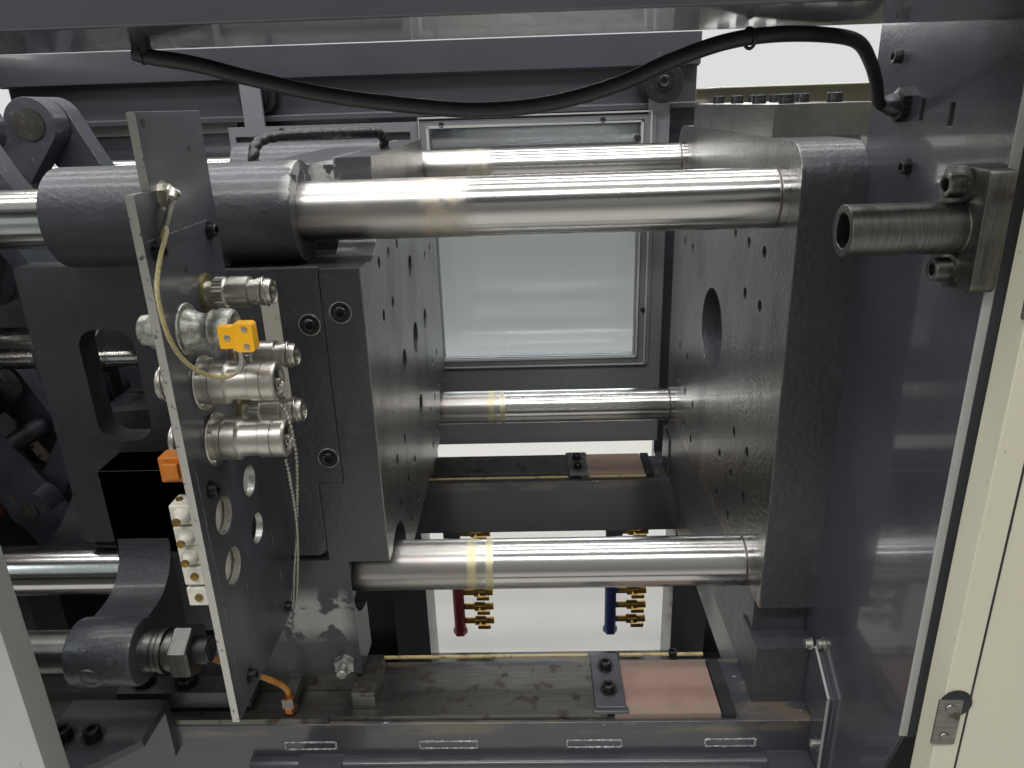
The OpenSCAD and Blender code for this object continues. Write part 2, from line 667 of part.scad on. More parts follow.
// Rear link: two plates, a spreader tube, and the eye of the drive link's pin
spreader_r = 18;
module rear_link() color("#4f525c") {
  both_sides() difference() {
    union() {
      link_plate(link_len, eye_r, pin_r, REAR_LANE);
      along_y(REAR_LANE[0], REAR_LANE[1]) translate([drive_len, 0]) circle(drive_eye_r + 8, $fn = 48);
    }
    rod_y(drive_r + fit_gap, REAR_LANE[0] - 1, REAR_LANE[1] + 1, drive_len, 0);
  }
  rod_y(spreader_r, -REAR_LANE[0], REAR_LANE[0], 95, 0);
}
module front_link() color("#4f525c") {
  both_sides() link_plate(link_len, eye_r, pin_r, FRONT_LANE);
  rod_y(spreader_r, -FRONT_LANE[0], FRONT_LANE[0], link_len / 2, 0);
}
module drive_link() color("#5b5e66")
  both_sides() link_plate(drive_len, drive_eye_r, drive_r, DRIVE_LANE);
module link_pins() color("#a9a8a2") {
  both_sides() rod_y(pin_r, REAR_LANE[0] - 2, FRONT_LANE[1] + 3, link_len, 0);
  rod_y(drive_r, -REAR_LANE[1] - 3, REAR_LANE[1] + 3, drive_len, 0);
}
module at_rear_link() translate([pin_a_x, 0, pin_rise]) rotate([0, -open_angle, 0]) children();
module at_front_link() translate([knee_x, 0, knee_z]) rotate([0, open_angle, 0]) children();
module at_drive_link() translate([drive_x, 0, drive_z]) rotate([0, open_angle, 0]) children();
module upper_rear_link() at_rear_link() rear_link();
module upper_front_link() at_front_link() front_link();
module upper_drive_link() at_drive_link() drive_link();
module upper_pins() at_rear_link() link_pins();
module lower_rear_link() scale([1, 1, -1]) upper_rear_link();
module lower_front_link() scale([1, 1, -1]) upper_front_link();
module lower_drive_link() scale([1, 1, -1]) upper_drive_link();
module lower_pins() scale([1, 1, -1]) upper_pins();

// Crosshead: nut housing of the clamp screw, guide arms and the two drive pins
module crosshead() color("#5a5d66") translate([cross_x, 0, 0]) {
  difference() {
    union() {
      along_y(-16, 16) polygon(round_rect(-34, 34, -pin_rise - 32, pin_rise + 32, 14));
      rod_x(clamp_screw_d / 2 + 20, -58, 40);
      block(-30, 20, -100, 100, -27, 27);
    }
    rod_x(clamp_screw_d / 2 + fit_gap, -60, 42, fn = 64);
    for (s = [-1, 1]) rod_x(guide_rod_r + fit_gap, -61, 41, s * guide_rod_y, 0);
  }
  for (z = [-1, 1]) both_sides() rod_y(drive_r, 16, DRIVE_LANE[1] + 2, 0, z * pin_rise);
}

module clamp_screw() color("#b4b2aa") {
  rod_x(clamp_screw_d / 2, rear_back - 85, guide_rod_end, fn = 64);
}

// Moving platen: notched mould slab, tie bar bosses, ribbed back, lugs for the front links
module slab_outline() difference() {
  translate([-half_w, -platen_drop]) square([platen_w, platen_drop + platen_top - 7]);
  for (s = [-1, 1]) scale([s, 1]) {
    translate([tie_y, notch_top]) square([half_w, platen_top]);
    translate([tie_y - notch_r + 4, tie_z]) square([half_w, platen_top]);
    translate([tie_y, -platen_drop - 1]) square([half_w, platen_drop - 199]);
    translate([tie_y - notch_r + 4, -platen_drop - 1]) square([half_w, platen_drop - tie_z]);
  }
}
module moving_platen() color("#4a4c55") difference() {
  union() {
    along_x(move_x - slab_side, move_x) slab_outline();
    both_sides() block(move_x - slab_low, move_x - slab_side, 150, half_w, -200, -83);
    block(cast_back, move_x - slab_side, -cast_half, cast_half, -200, notch_top);
    block(cast_back, move_x - slab_side, -226, 226, -platen_drop + 10, platen_top - 16);
    at_corners() rod_x(boss_r, boss_far, boss_near, fn = 64);
    both_sides() {
      // Webs that tie the bosses to the casting
      for (z = [-1, 1]) scale([1, 1, z]) {
        block(boss_far + 20, boss_near - 10, 226, tie_y, tie_z - 40, tie_z - 4);
        block(boss_far + 40, cast_back, 262, 300, 185, 215);
        eye_lug(cast_back, pin_b_x, pin_rise, eye_r, REAR_LANE);
        eye_lug(cast_back, pin_b_x, pin_rise, eye_r, OUTER_LANE);
      }
      // Side wall with a round-cornered window
      difference() {
        block(pin_b_x, cast_back + 1, 262, 300, -198, 190);
        along_y(261, 301) polygon(round_rect(boss_far - 21, boss_far + 50, -43, 110, 24));
      }
      // Leg and sloping foot above the slideway
      along_y(beam_in + 5, half_w)
        polygon([[leg_x, -198], [leg_x, bed_top + 32], [pin_b_x + 50, bed_top + 32],
        [pin_b_x + 50, bed_top + 64], [cast_back + 6, -300], [cast_back + 6, -198]]);
      block(pin_b_x + 50, cast_back - 40, half_w - 1, half_w + 34, bed_top + 6, bed_top + 32);
    }
    // Pad that takes the arm of the safety rod
    block(arm_x, arm_x + arm_t + 60, -half_w - 1, -299, -180, -60);
  }
  at_corners() rod_x(tie_r + fit_gap, boss_far - 1, boss_near + 1, fn = 64);
  at_corners() rod_x(notch_r, boss_near, move_x + 1, fn = 48);
  mould_holes(move_x - mould_hole_depth, move_x + 1);
  rod_x(26, cast_back - 1, move_x + 1);
  for (p = EJECT_PINS) rod_x(eject_pin_r + 4, cast_back - 1, move_x + 1, p[0], p[1], 32);
  for (z = [-1, 1]) rod_y(pin_r + fit_gap, -OUTER_LANE[1] - 1, OUTER_LANE[1] + 1, pin_b_x, z * pin_rise);
  for (s = [-1, 1]) rod_x(12 + fit_gap, cast_back - 1, cast_back + 30, s * eject_post_y, 0, 32);
}

// Bronze-faced shoes that carry the moving platen on the slideways
module platen_shoes() color("#7d6a4a") both_sides() {
  block(pin_b_x + 60, leg_x - 10, beam_in + 8, half_w - 3, bed_top + run_gap, bed_top + 32);
  block(leg_x - 10, leg_x + 22, beam_in + 24, beam_out - 18, bed_top + run_gap, bed_top + 26);
  // Block of the grease fitting
  block(move_x - 158, move_x - 142, half_w - 4, half_w + 44, bed_top + 11, bed_top + 27);
}

// Ground side plate bolted to the front of the moving platen
module platen_side_plate() color("#50535d") along_y(-half_w, -cast_half)
  polygon(concat([[cast_back, notch_top + 3], [move_x - slab_side - 1, notch_top + 3],
    [move_x - slab_side - 1, -83], [move_x - slab_low - 1, -83]],
    arc(move_x - slab_low - 15, -176, 14, 0, -90, 4), [[cast_back, -190]]));

// Screws on the moving platen's side, foot and bracket
module platen_bolts() color("#34353a") {
  for (p = [[move_x - 28, 139], [move_x - 66, 125], [move_x - 64, -48]])
    translate([p[0], -half_w - 9, p[1]]) rotate([0, 0, 90]) socket_head_x(9, 6);
  for (p = [[80, 249], [195, 250], [183, 9], [44, -237], [176, -231]])
    translate([bracket_face + 8, side_y - p[0], p[1]]) rotate([0, 0, 180]) socket_head_x(8, 5);
  translate([0, side_y, 0]) {
    rod_y(13, -10, 0, leg_x - 22, -365, 6);
    rod_y(7, -24, -10, leg_x - 22, -365, 24);
  }
  for (x = [pin_b_x + 80, pin_b_x + 140]) rod_z(10, bed_top + 32, bed_top + 44, x, -half_w - 14, 6);
}

// Sheet bracket across the platen's side that holds the couplings
BRACKET_HOLES = [[92, -30, 17.5], [92, -91, 17.5], [168, -30, 20], [168, -91, 20]];
module connector_bracket() color("#494b53") {
  difference() {
    along_x(bracket_x - bracket_t / 2, bracket_face) polygon(BRACKET);
    for (h = BRACKET_HOLES) rod_x(h[2], bracket_x - 9, bracket_x + 9, side_y - h[0], h[1]);
    for (c = COUPLINGS) rod_x(c[2] - 5, bracket_x - 9, bracket_x + 9, side_y - c[0], c[1]);
  }
  // Angle behind the sheet, seated on the side plate
  block(bracket_x - bracket_t / 2 - 26, bracket_x - bracket_t / 2, side_y - 62, side_y, -60, 20);
}

// Quick couplings through the bracket, a terminal strip and the yellow sensor plug
module coupling(r, length) {
  rod_x(r + 5, 0, 4, fn = 32);
  rod_x(r, 4, length * 0.35, fn = 32);
  rod_x(r - 3, length * 0.35, length * 0.55, fn = 32);
  rod_x(r, length * 0.55, length, fn = 32);
  rod_x(r - 5.1, -bracket_t, 0, fn = 32);
  rod_x(r - 1, -bracket_t - 34, -bracket_t, fn = 32);
}
module bracket_connectors() color("#c9c6bb") {
  for (c = COUPLINGS) translate([bracket_face, side_y - c[0], c[1]]) coupling(c[2], c[3]);
  for (i = [0:3]) block(bracket_x - 30, bracket_x - bracket_t / 2, side_y - 211, side_y - 181,
    -120 + 30 * i, -96 + 30 * i);
  block(bracket_face + 41, bracket_face + 73, side_y - 201, side_y - 191, 158, 184);
  // Cream strip plate on the platen's side
  block(bracket_face + 10, bracket_face + 30, -half_w - 3, -half_w, 12, 178);
}

// Two bead chains that hang from the couplings to a screw of the bracket
BEAD_1 = [[-546, -515, 90.7], [-542, -514, 82], [-540.5, -511, 66], [-540.5, -507, 44],
  [-543, -501, 18], [-552, -490, -30], [-566, -472, -90], [-583, -450, -150], [-599, -424, -206],
  [-607, -411, -228], [-608.6, -404, -235]];
BEAD_2 = [[-550, -512, 28.7], [-551, -506, 4], [-557, -488, -52], [-568, -467, -106],
  [-583, -442, -162], [-599, -414, -212], [-607, -400, -228], [-608.6, -396, -234]];
module ball_chains() color("#b8b8b4") {
  side_cord(BEAD_1, 4.2);
  side_cord(BEAD_2, 4.2);
}

// Cream sensor lead from the bracket's upper screw to the plug beside the third coupling
SENSOR_LEAD = [[-615, -550, 257.3], [-613, -551, 264], [-607, -556, 270], [-601, -570, 266],
  [-600, -588, 252], [-600, -603, 232], [-600, -606, 212], [-600, -600, 184], [-598, -586, 160],
  [-590, -570, 142], [-578, -558, 134], [-566, -552, 138], [-562, -551, 148], [-562, -551, 157.7]];
module sensor_lead() color("#d9cfae") side_cord(SENSOR_LEAD, 4);

// Cast arm on the platen's pad, with the hub that holds the safety rod
module safety_arm() color("#3f434c") difference() {
  union() {
    rod_x(arm_r, arm_x, arm_x + arm_t, arm_y, arm_z);
    along_x(arm_x + 6, arm_x + arm_t - 6) polygon(concat(
      [[-half_w - 1, -60], [-half_w - 14, -60]], arc(-half_w - 34, -120, 70, 62, 150, 5),
      [[arm_y - arm_r, arm_z], [arm_y, arm_z - arm_r], [arm_y + arm_r, arm_z]],
      [[-half_w - 1, -180]]));
  }
  rod_x(rod_r + fit_gap, arm_x - 1, arm_x + arm_t + 1, arm_y, arm_z);
  rod_y(9, arm_y - arm_r - 1, arm_y - arm_r + 6, arm_x + arm_t / 2, arm_z, 24);
}

// Safety rod with its collar, rings and hexagon nut
safety_end = rear_face - 420;
module safety_rod() color("#4a4a4c") translate([0, arm_y, arm_z]) {
  rod_x(rod_r, safety_end, arm_x + arm_t + 46);
  rod_x(34, arm_x + arm_t, arm_x + arm_t + 20);
  rod_x(37, arm_x + arm_t + 20, arm_x + arm_t + 30);
  rod_x(36, arm_x + arm_t + 30, arm_x + arm_t + 58, fn = 6);
  rod_x(17, arm_x + arm_t + 58, arm_x + arm_t + 82, fn = 32);
}

// Spiral-wrapped hose over the platen's top
TOP_HOSE = [[-650, -196, 296.3], [-650, -195, 306], [-649, -186, 318], [-645, -168, 326],
  [-625, -150, 330], [-590, -138, 331], [-550, -126, 331], [-520, -112, 330], [-506, -92, 328],
  [-503, -72, 322], [-503, -66, 313], [-503, -65, 305.3]];
module top_hose() color("#1d1d20") cord(TOP_HOSE, 15);

// Amber grease hose from behind the safety rod's arm to the fitting on the platen's foot
GREASE_HOSE = [[-769.7, -432, -268], [-760, -431, -270], [-742, -426, -280], [-716, -421, -300],
  [-686, -414, -324], [-660, -404, -348], [-646, -396, -366], [-640, -392, -380], [-640, -391, -389.7]];
module grease_hose() color("#a8752a") side_cord(GREASE_HOSE, 8);

// Two ejector cylinders on a bridge, carried by two posts
module ejector_drive() color("#3a3b41") {
  for (s = [-1, 1]) rod_x(12, bridge_x, cast_back + 30, s * eject_post_y, 0, 32);
  difference() {
    union() {
      block(bridge_x, bridge_x + 20, -eject_post_y - 22, eject_post_y + 22, -34, 34);
      block(bridge_x, bridge_x + 20, -26, 26, -eject_ram_z - 22, eject_ram_z + 22);
      for (z = [-1, 1]) rod_x(18, bridge_x - 66, eject_x - 14, 0, z * eject_ram_z);
    }
    for (s = [-1, 1]) rod_x(12 + fit_gap, bridge_x - 1, bridge_x + 21, s * eject_post_y, 0, 32);
    for (z = [-1, 1]) rod_x(eject_ram_r + fit_gap, bridge_x - 60, eject_x, 0, z * eject_ram_z, 32);
  }
}

module front_pins() color("#a9a8a2")
  for (z = [-1, 1]) rod_y(pin_r, -OUTER_LANE[1] - 3, OUTER_LANE[1] + 3, pin_b_x, z * pin_rise);

// Cross-shaped ejector plate with its five rods and the two cylinder rams
module ejector_plate() color("#8b8b88") {
  difference() {
    union() {
      block(eject_x, eject_x + eject_t, -30, 30, -150, 150);
      block(eject_x, eject_x + eject_t, -145, 145, -28, 28);
    }
    for (s = [-1, 1]) rod_x(12 + fit_gap, eject_x - 1, eject_x + eject_t + 1, s * eject_post_y, 0, 32);
  }
  for (p = EJECT_PINS) rod_x(eject_pin_r, eject_x + eject_t, move_x - 12, p[0], p[1], 32);
  for (z = [-1, 1]) rod_x(eject_ram_r, bridge_x - 56, eject_x, 0, z * eject_ram_z, 32);
}

// Sliding front door: folded frame with a window and a grab handle
win_low = -120;
win_high = 330;
win_edge = 110;
module front_door() color("#b6b6ae") {
  x1 = door_edge;
  x0 = door_edge - front_door_w;
  difference() {
    block(x0, x1, -guard_y - door_t / 2, -guard_y + door_t / 2, door_low, door_high);
    block(x0 + 12, x1 - 12, -guard_y - door_t / 2 + 4, -guard_y + door_t / 2 + 1,
      door_low + 12, win_low - 40);
    block(x0 + win_edge, x1 - win_edge, -guard_y - door_t, -guard_y + door_t, win_low, win_high);
  }
  for (z = [-40, 140]) block(x1 - 70, x1 - 50, -guard_y - 60, -guard_y - door_t / 2, z, z + 20);
  block(x1 - 70, x1 - 50, -guard_y - 80, -guard_y - 60, -60, 180);
}
module front_window() color("#9fb4bd")
  block(door_edge - front_door_w + win_edge, door_edge - win_edge, -guard_y - 4, -guard_y + 2,
    win_low, win_high);

// Sliding rear door with a stepped window frame, hung on two rollers
rear_win = [-508, -54, -209, 313];
module rear_door() color("#8f9092") {
  x1 = rear_edge;
  x0 = rear_edge - rear_door_w;
  difference() {
    union() {
      block(x0, x1, rear_door_y, rear_door_y + rear_door_t, door_low, rail_low - 10);
      block(rear_win[0] - 30, rear_win[1] + 34, rear_door_y - 8, rear_door_y,
        rear_win[2] - 26, rear_win[3] + 14);
      for (x = ROLLER_X) block(x - 22, x + 22, rear_door_y, rear_door_y + 8, rail_low - 10, roller_z + 30);
    }
    block(rear_win[0], rear_win[1], rear_door_y - 9, rear_door_y + 40, rear_win[2], rear_win[3]);
    block(x0 + 14, rear_win[0] - 44, rear_door_y - 1, rear_door_y + rear_door_t - 4,
      door_low + 14, rail_low - 30);
  }
  for (x = ROLLER_X) rod_y(12, rear_door_y + 8, roller_y + 20, x, roller_z, 32);
}
module rear_window() color("#b9c4c8")
  block(rear_win[0], rear_win[1], rear_door_y, rear_door_y + 6, rear_win[2], rear_win[3]);

module rear_roller(x) color("#1f1f21") difference() {
  union() {
    rod_y(roller_r, roller_y, roller_y + 18, x, roller_z);
    rod_y(roller_r - 14, roller_y - 6, roller_y, x, roller_z);
  }
  rod_y(12 + fit_gap, roller_y - 7, roller_y + 19, x, roller_z, 32);
}

// Injection carriage: base on its rails, screw housing, barrel with heater bands, and hopper
module injection_carriage() color("#8d8f92") {
  difference() {
    union() {
      block(carriage_x - 40, carriage_end, -310, 310, bed_top + 60, bed_top + 130);
      both_sides() for (x = [carriage_x - 30, carriage_end - 150])
        block(x, x + 140, 300, 366, bed_top + 28 + run_gap, bed_top + 60);
      block(carriage_x, carriage_x + 170, -190, 190, bed_top + 130, 170);
      block(carriage_end - 160, carriage_end, -190, 190, bed_top + 130, 170);
      for (s = [-1, 1]) for (z = [-110, 120])
        rod_x(20, carriage_x + 170, carriage_end - 160, s * 140, z, 32);
      // Barrel, heater bands and nozzle
      rod_x(barrel_r, barrel_x, carriage_x);
      for (i = [0:4]) rod_x(barrel_r + 9, barrel_x + 40 + 125 * i, barrel_x + 140 + 125 * i);
      rod_x(26, nozzle_x + 40, barrel_x, fn = 32);
      translate([nozzle_x, 0, 0]) rotate([0, 90, 0]) cylinder(r1 = 10, r2 = 26, h = 40, $fn = 32);
      // Hopper throat and hopper
      block(carriage_x + 20, carriage_x + 150, -60, 60, 170, 230);
      translate([carriage_x + 85, 0, 230]) cylinder(r1 = 60, r2 = 190, h = 260, $fn = 48);
      rod_z(190, 490, 760, carriage_x + 85, 0);
    }
    rod_x(screw_r + fit_gap, nozzle_x + 60, carriage_end + 1, fn = 48);
    rod_x(4, nozzle_x - 1, nozzle_x + 61, fn = 24);
    translate([carriage_x + 85, 0, 229]) cylinder(r1 = 40, r2 = 182, h = 262, $fn = 48);
    rod_z(182, 489, 752, carriage_x + 85, 0);
    rod_z(40, screw_r - 5, 232, carriage_x + 85, 0, 32);
  }
  // Injection motor behind the rear housing
  translate([carriage_end, 0, 120]) block(0, 24, -90, 90, -85, 45);
  rod_x(62, carriage_end + 24, carriage_end + 250, 0, 100);
}

// Plasticising screw: a core with a turned flight, and its drive coupling
flight_pitch = 38;
module plasticising_screw() color("#a3a29c") {
  tip = nozzle_x + 70;
  rod_x(screw_r - 5, tip + 30, carriage_end - 20, fn = 32);
  rod_x(screw_r, carriage_x + 175, carriage_end - 20, fn = 48);
  translate([tip, 0, 0]) rotate([0, 90, 0]) cylinder(r1 = 3, r2 = screw_r - 5, h = 30, $fn = 32);
  for (x = [tip + 40:flight_pitch:carriage_x + 160]) rod_x(screw_r, x, x + 5, fn = 32);
  rod_x(48, carriage_x + 230, carriage_x + 300);
}

bed_frame();
leveling_feet();
slide_rails();
rail_clamps();
fixed_platen();
robot_mount_plate();
machine_bolts();
tie_bars();
tie_bar_nuts();
bulkhead_plate();
guide_tube();
front_top_beam();
rear_top_rail();
door_cable();
injection_covers();
clamp_end_cover();
control_panel();
water_manifold();
rear_platen();
adjust_chain();
platen_motors();
rear_pins();
adjust_nut(CORNERS[0]);  // adjust_nut_1
adjust_nut(CORNERS[1]);  // adjust_nut_2
adjust_nut(CORNERS[2]);  // adjust_nut_3
adjust_nut(CORNERS[3]);  // adjust_nut_4
upper_rear_link();
upper_front_link();
upper_drive_link();
lower_rear_link();
lower_front_link();
lower_drive_link();
upper_pins();
lower_pins();
crosshead();
clamp_screw();
moving_platen();
platen_shoes();
platen_side_plate();
platen_bolts();
connector_bracket();
bracket_connectors();
ball_chains();
sensor_lead();
safety_arm();
safety_rod();
top_hose();
grease_hose();
ejector_drive();
front_pins();
ejector_plate();
front_door();
front_window();
rear_door();
rear_window();
rear_roller(ROLLER_X[0]);  // rear_roller_1
rear_roller(ROLLER_X[1]);  // rear_roller_2
injection_carriage();
plasticising_screw();
stop_button();
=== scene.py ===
"""Finish of a horizontal injection moulding machine: paint, steel, couplings, screws, hoses and wear.

All places are given in millimetres in the machine's own frame, with the origin in the locating bore on
the fixed platen's face, and are turned to metres where a mesh is made.
"""
import json
import math

import bmesh
import bpy
import numpy as np
from bpy.props import FloatProperty, FloatVectorProperty, PointerProperty
from mathutils import Matrix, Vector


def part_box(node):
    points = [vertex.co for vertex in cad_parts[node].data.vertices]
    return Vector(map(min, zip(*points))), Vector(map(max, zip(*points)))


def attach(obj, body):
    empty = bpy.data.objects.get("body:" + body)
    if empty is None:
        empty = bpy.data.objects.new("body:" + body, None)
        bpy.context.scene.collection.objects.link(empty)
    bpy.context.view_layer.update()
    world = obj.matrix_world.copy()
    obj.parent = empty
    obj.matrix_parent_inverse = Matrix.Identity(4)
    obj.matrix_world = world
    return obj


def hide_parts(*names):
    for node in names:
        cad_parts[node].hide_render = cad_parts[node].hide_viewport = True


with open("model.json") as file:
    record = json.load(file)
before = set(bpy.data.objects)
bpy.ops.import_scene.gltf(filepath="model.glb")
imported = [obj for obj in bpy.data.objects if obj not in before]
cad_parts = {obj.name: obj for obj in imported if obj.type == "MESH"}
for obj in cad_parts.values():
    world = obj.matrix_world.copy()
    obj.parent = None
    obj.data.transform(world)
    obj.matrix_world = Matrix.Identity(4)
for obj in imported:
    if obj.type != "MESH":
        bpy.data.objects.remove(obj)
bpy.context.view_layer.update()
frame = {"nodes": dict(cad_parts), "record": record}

bl_info = {
    "name": "Injection Moulding Machine",
    "version": (1, 0, 0),
    "blender": (4, 5, 0),
    "location": "3D View > Sidebar > Moulding",
    "description": "Paints and details the solids of an injection moulding machine",
    "category": "Object",
}

BODY_OF = {n: b for b, nodes in frame["record"]["behaviour"]["bodies"].items() for n in nodes}
MM = 0.001
LEFT, RIGHT, NEAR, FAR, DOWN, UP = (-1, 0, 0), (1, 0, 0), (0, -1, 0), (0, 1, 0), (0, 0, -1), (0, 0, 1)
EVEN = (1, 1, 1)

MOVE_X = -490.0  # x of the moving platen's mould face
FACE = -619.0  # x of the connector bracket's face
BULKHEAD = 72.0  # x of the bulkhead's face towards the mould
SIDE = -355.0  # y of the moving platen's side towards the operator
BED_FRONT = -405.0  # y of the bed's front beam
WAY_TOP = -417.0  # z of the slideways


def linear(code):
    """The linear colour of an sRGB hex code: each part c becomes ((c + 0.055) / 1.055) to the power 2.4."""
    parts = np.array([int(code[i:i + 2], 16) for i in (1, 3, 5)]) / 255
    low, high = parts / 12.92, ((parts + 0.055) / 1.055) ** 2.4
    return (*(float(v) for v in np.where(parts <= 0.04045, low, high)), 1.0)


# ---------------------------------------------------------------- sizes and colours a user may change

def colour(name, description, code):
    """A colour that is given here as an sRGB hex code."""
    return FloatVectorProperty(name=name, description=description, subtype="COLOR", size=3, min=0, max=1,
                               default=linear(code)[:3])


class MouldingColours(bpy.types.PropertyGroup):
    casting: colour("Casting paint", "Enamel on the platens and the bed", "#3d3e43")
    sheet: colour("Sheet paint", "Glossy coat on the bulkhead and the bracket", "#3c3e44")
    cover: colour("Cover paint", "Coat on the covers and the hood", "#c4c1ad")
    door: colour("Door paint", "Coat on the sliding doors", "#a5a6a2")
    plug: colour("Sensor plug", "Moulded plastic of the thermocouple plug", "#f0b010")
    grease: colour("Grease line", "Nylon of the grease lines", "#a9752c")


def length(name, description, default, low, high):
    """A length that is given here in millimetres and shown in the scene's own unit."""
    return FloatProperty(name=name, description=description, default=default * MM, min=low * MM, max=high * MM,
                         unit="LENGTH", precision=4)


class MouldingSizes(bpy.types.PropertyGroup):
    bead_pitch: length("Bead pitch", "From one bead of a chain to the next", 5.4, 4, 20)
    wrap_pitch: length("Wrap pitch", "From one turn of the hose's wrap to the next", 13, 5, 50)
    edge_round: length("Casting edge", "Rounding of the castings' edges", 4, 0, 20)
    sheet_round: length("Sheet edge", "Rounding of sheet and plate edges", 1, 0, 5)


# ---------------------------------------------------------------- meshes worked out on a grid

# Where an outline's two measures and its place across them go in x, y and z
ORDER = {"x": (2, 0, 1), "y": (0, 2, 1), "z": (0, 1, 2)}


def axes_of(direction):
    """Three unit vectors at right angles, the last one along the direction."""
    w = np.array(direction, float) / np.linalg.norm(direction)
    u = np.cross(w, (0, 0, 1) if abs(w[2]) < 0.9 else (1, 0, 0))
    u /= np.linalg.norm(u)
    return u, np.cross(w, u), w


def grid(points, wrap=True):
    """Quads of a surface given as rings by stations: each joins a point to its three next neighbours."""
    n, m = points.shape[:2]
    i, j = np.arange(n - 1)[:, None], np.arange(m if wrap else m - 1)[None, :]
    k = (j + 1) % m
    faces = np.stack([i * m + j, i * m + k, (i + 1) * m + k, (i + 1) * m + j], -1)
    return points.reshape(-1, 3), faces.reshape(-1, 4).tolist()


def turned(profile, at, axis=RIGHT, sides=36, shut=True):
    """A turned form: each entry (distance, radius, corners) is a ring round the axis.

    With corners the radius is that of the flats, r / cos(angle to the nearest flat's middle), and with
    24 corners or more it is a knurl, r (1 + 0.035 cos(corners * angle)). Shut ends run in to the axis.
    """
    rows = [(*p, 0)[:3] for p in profile]
    if shut:
        first, last = rows[0], rows[-1]
        rows = [(first[0], 0, 0)] * (first[1] > 0) + rows + [(last[0], 0, 0)] * (last[1] > 0)
    turn = np.linspace(0, 2 * np.pi, sides, endpoint=False)[None, :]
    s, r, k = np.array(rows, float).T[:, :, None]
    step = 2 * np.pi / np.where(k > 2, k, 1)
    flat = 1 / np.cos((turn + step / 2) % step - step / 2 + 1e-9)
    knurl = 1 + 0.035 * np.cos(k * turn)
    r = r * np.where(k >= 24, knurl, np.where(k > 2, flat, 1))
    u, v, w = axes_of(axis)
    points = (np.array(at) + s[..., None] * w + (r * np.cos(turn))[..., None] * u
              + (r * np.sin(turn))[..., None] * v)
    return grid(points)


def slab(outline, across, a, b):
    """An outline carried straight along one axis from a to b, with flat ends."""
    flat = np.array(outline, float)
    ends = [np.column_stack([flat, np.full(len(flat), c)])[:, ORDER[across]] for c in (a, b)]
    n = len(flat)
    i = np.arange(n)
    sides = np.stack([i, (i + 1) % n, (i + 1) % n + n, i + n], -1).tolist()
    return np.vstack(ends), sides + [list(range(n)), list(range(n, 2 * n))]


def brick(x0, x1, y0, y1, z0, z1):
    """A rectangle carried along Z; its edges are rounded by the piece's bevel."""
    return slab([(x0, y0), (x1, y0), (x1, y1), (x0, y1)], "z", z0, z1)


def round_rect(x0, x1, y0, y1, r, n=5):
    """Corner points x = cx + r cos a, y = cy + r sin a of a rectangle with round corners."""
    a = np.linspace(0, np.pi / 2, n)
    corners = [(x1 - r, y1 - r, 0), (x0 + r, y1 - r, 1), (x0 + r, y0 + r, 2), (x1 - r, y0 + r, 3)]
    return [(cx + r * math.cos(t + q * math.pi / 2), cy + r * math.sin(t + q * math.pi / 2))
            for cx, cy, q in corners for t in a]


def smooth(points, steps):
    """A path through the points, on cubic pieces whose slope at a point joins its two neighbours."""
    p = np.array(points, float)
    n = len(p)
    i = np.repeat(np.arange(n - 1), steps)
    s = np.tile(np.arange(steps) / steps, n - 1)[:, None]
    a, b, c, d = p[np.maximum(i - 1, 0)], p[i], p[i + 1], p[np.minimum(i + 2, n - 1)]
    path = 0.5 * (2 * b + (c - a) * s + (2 * a - 5 * b + 4 * c - d) * s ** 2
                  + (3 * b - a - 3 * c + d) * s ** 3)
    return np.vstack([path, p[-1]])


def along(path):
    """How far along a path each of its points lies."""
    return np.concatenate([[0], np.cumsum(np.linalg.norm(np.diff(path, axis=0), axis=1))])


def tube(path, radius, sides=12, lean=UP, ripple=None):
    """A circle carried along a path; ripple(length, angle) scales its radius from place to place."""
    path = np.array(path, float)
    run = np.gradient(path, axis=0)
    w = run / np.linalg.norm(run, axis=1)[:, None]
    u = np.cross(w, lean)
    u /= np.linalg.norm(u, axis=1)[:, None]
    v = np.cross(w, u)
    turn = np.linspace(0, 2 * np.pi, sides, endpoint=False)[None, :]
    r = np.broadcast_to(radius * (ripple(along(path)[:, None], turn) if ripple else 1.0), (len(path), sides))
    rings = (path[:, None] + (r * np.cos(turn))[..., None] * u[:, None]
             + (r * np.sin(turn))[..., None] * v[:, None])
    ends = [np.broadcast_to(path[k], (1, sides, 3)) for k in (0, -1)]
    return grid(np.concatenate([ends[0], rings, ends[1]]))


def ring(at, axis, radius, wire):
    """A wire ring: the wire's small circle is carried round a circle of the given radius."""
    a = np.linspace(0, 2 * np.pi, 31)[:, None]
    b = np.linspace(0, 2 * np.pi, 8, endpoint=False)[None, :]
    u, v, w = axes_of(axis)
    out = radius + wire * np.cos(b)
    points = (np.array(at) + (out * np.cos(a))[..., None] * u + (out * np.sin(a))[..., None] * v
              + (wire * np.sin(b) + 0 * a)[..., None] * w)
    points[-1] = points[0]
    return grid(points)


def screw(at, axis, d, washer=0.0, corners=0):
    """A socket head screw turned round its axis, its seat at the given point; corners 6 is a hexagon head."""
    hr, key = 0.8 * d, 0.4 * d
    if corners:
        rows = [(0, hr, 6), (0.6 * d, hr, 6), (0.7 * d, hr * 0.9)]
    else:
        rows = [(0, hr), (0.9 * d, hr), (d, 0.9 * hr), (d, key * 1.2), (0.96 * d, key, 6), (0.45 * d, key, 6),
                (0.4 * d, 0)]
    parts = [turned(rows, at, axis)]
    if washer:
        parts.append(turned([(-washer, 1.5 * hr), (0, 1.5 * hr), (0.02, 1.3 * hr)], at, axis))
    return parts


def screws(places, axis, d, washer=0.0, corners=0):
    """Like screws at several places, all along one axis."""
    return [part for at in places for part in screw(at, axis, d, washer, corners)]


def marked(pick, *parts):
    """The same parts, each taking the finish at that place in its piece's list."""
    return [(part[0], part[1], pick) for part in parts]


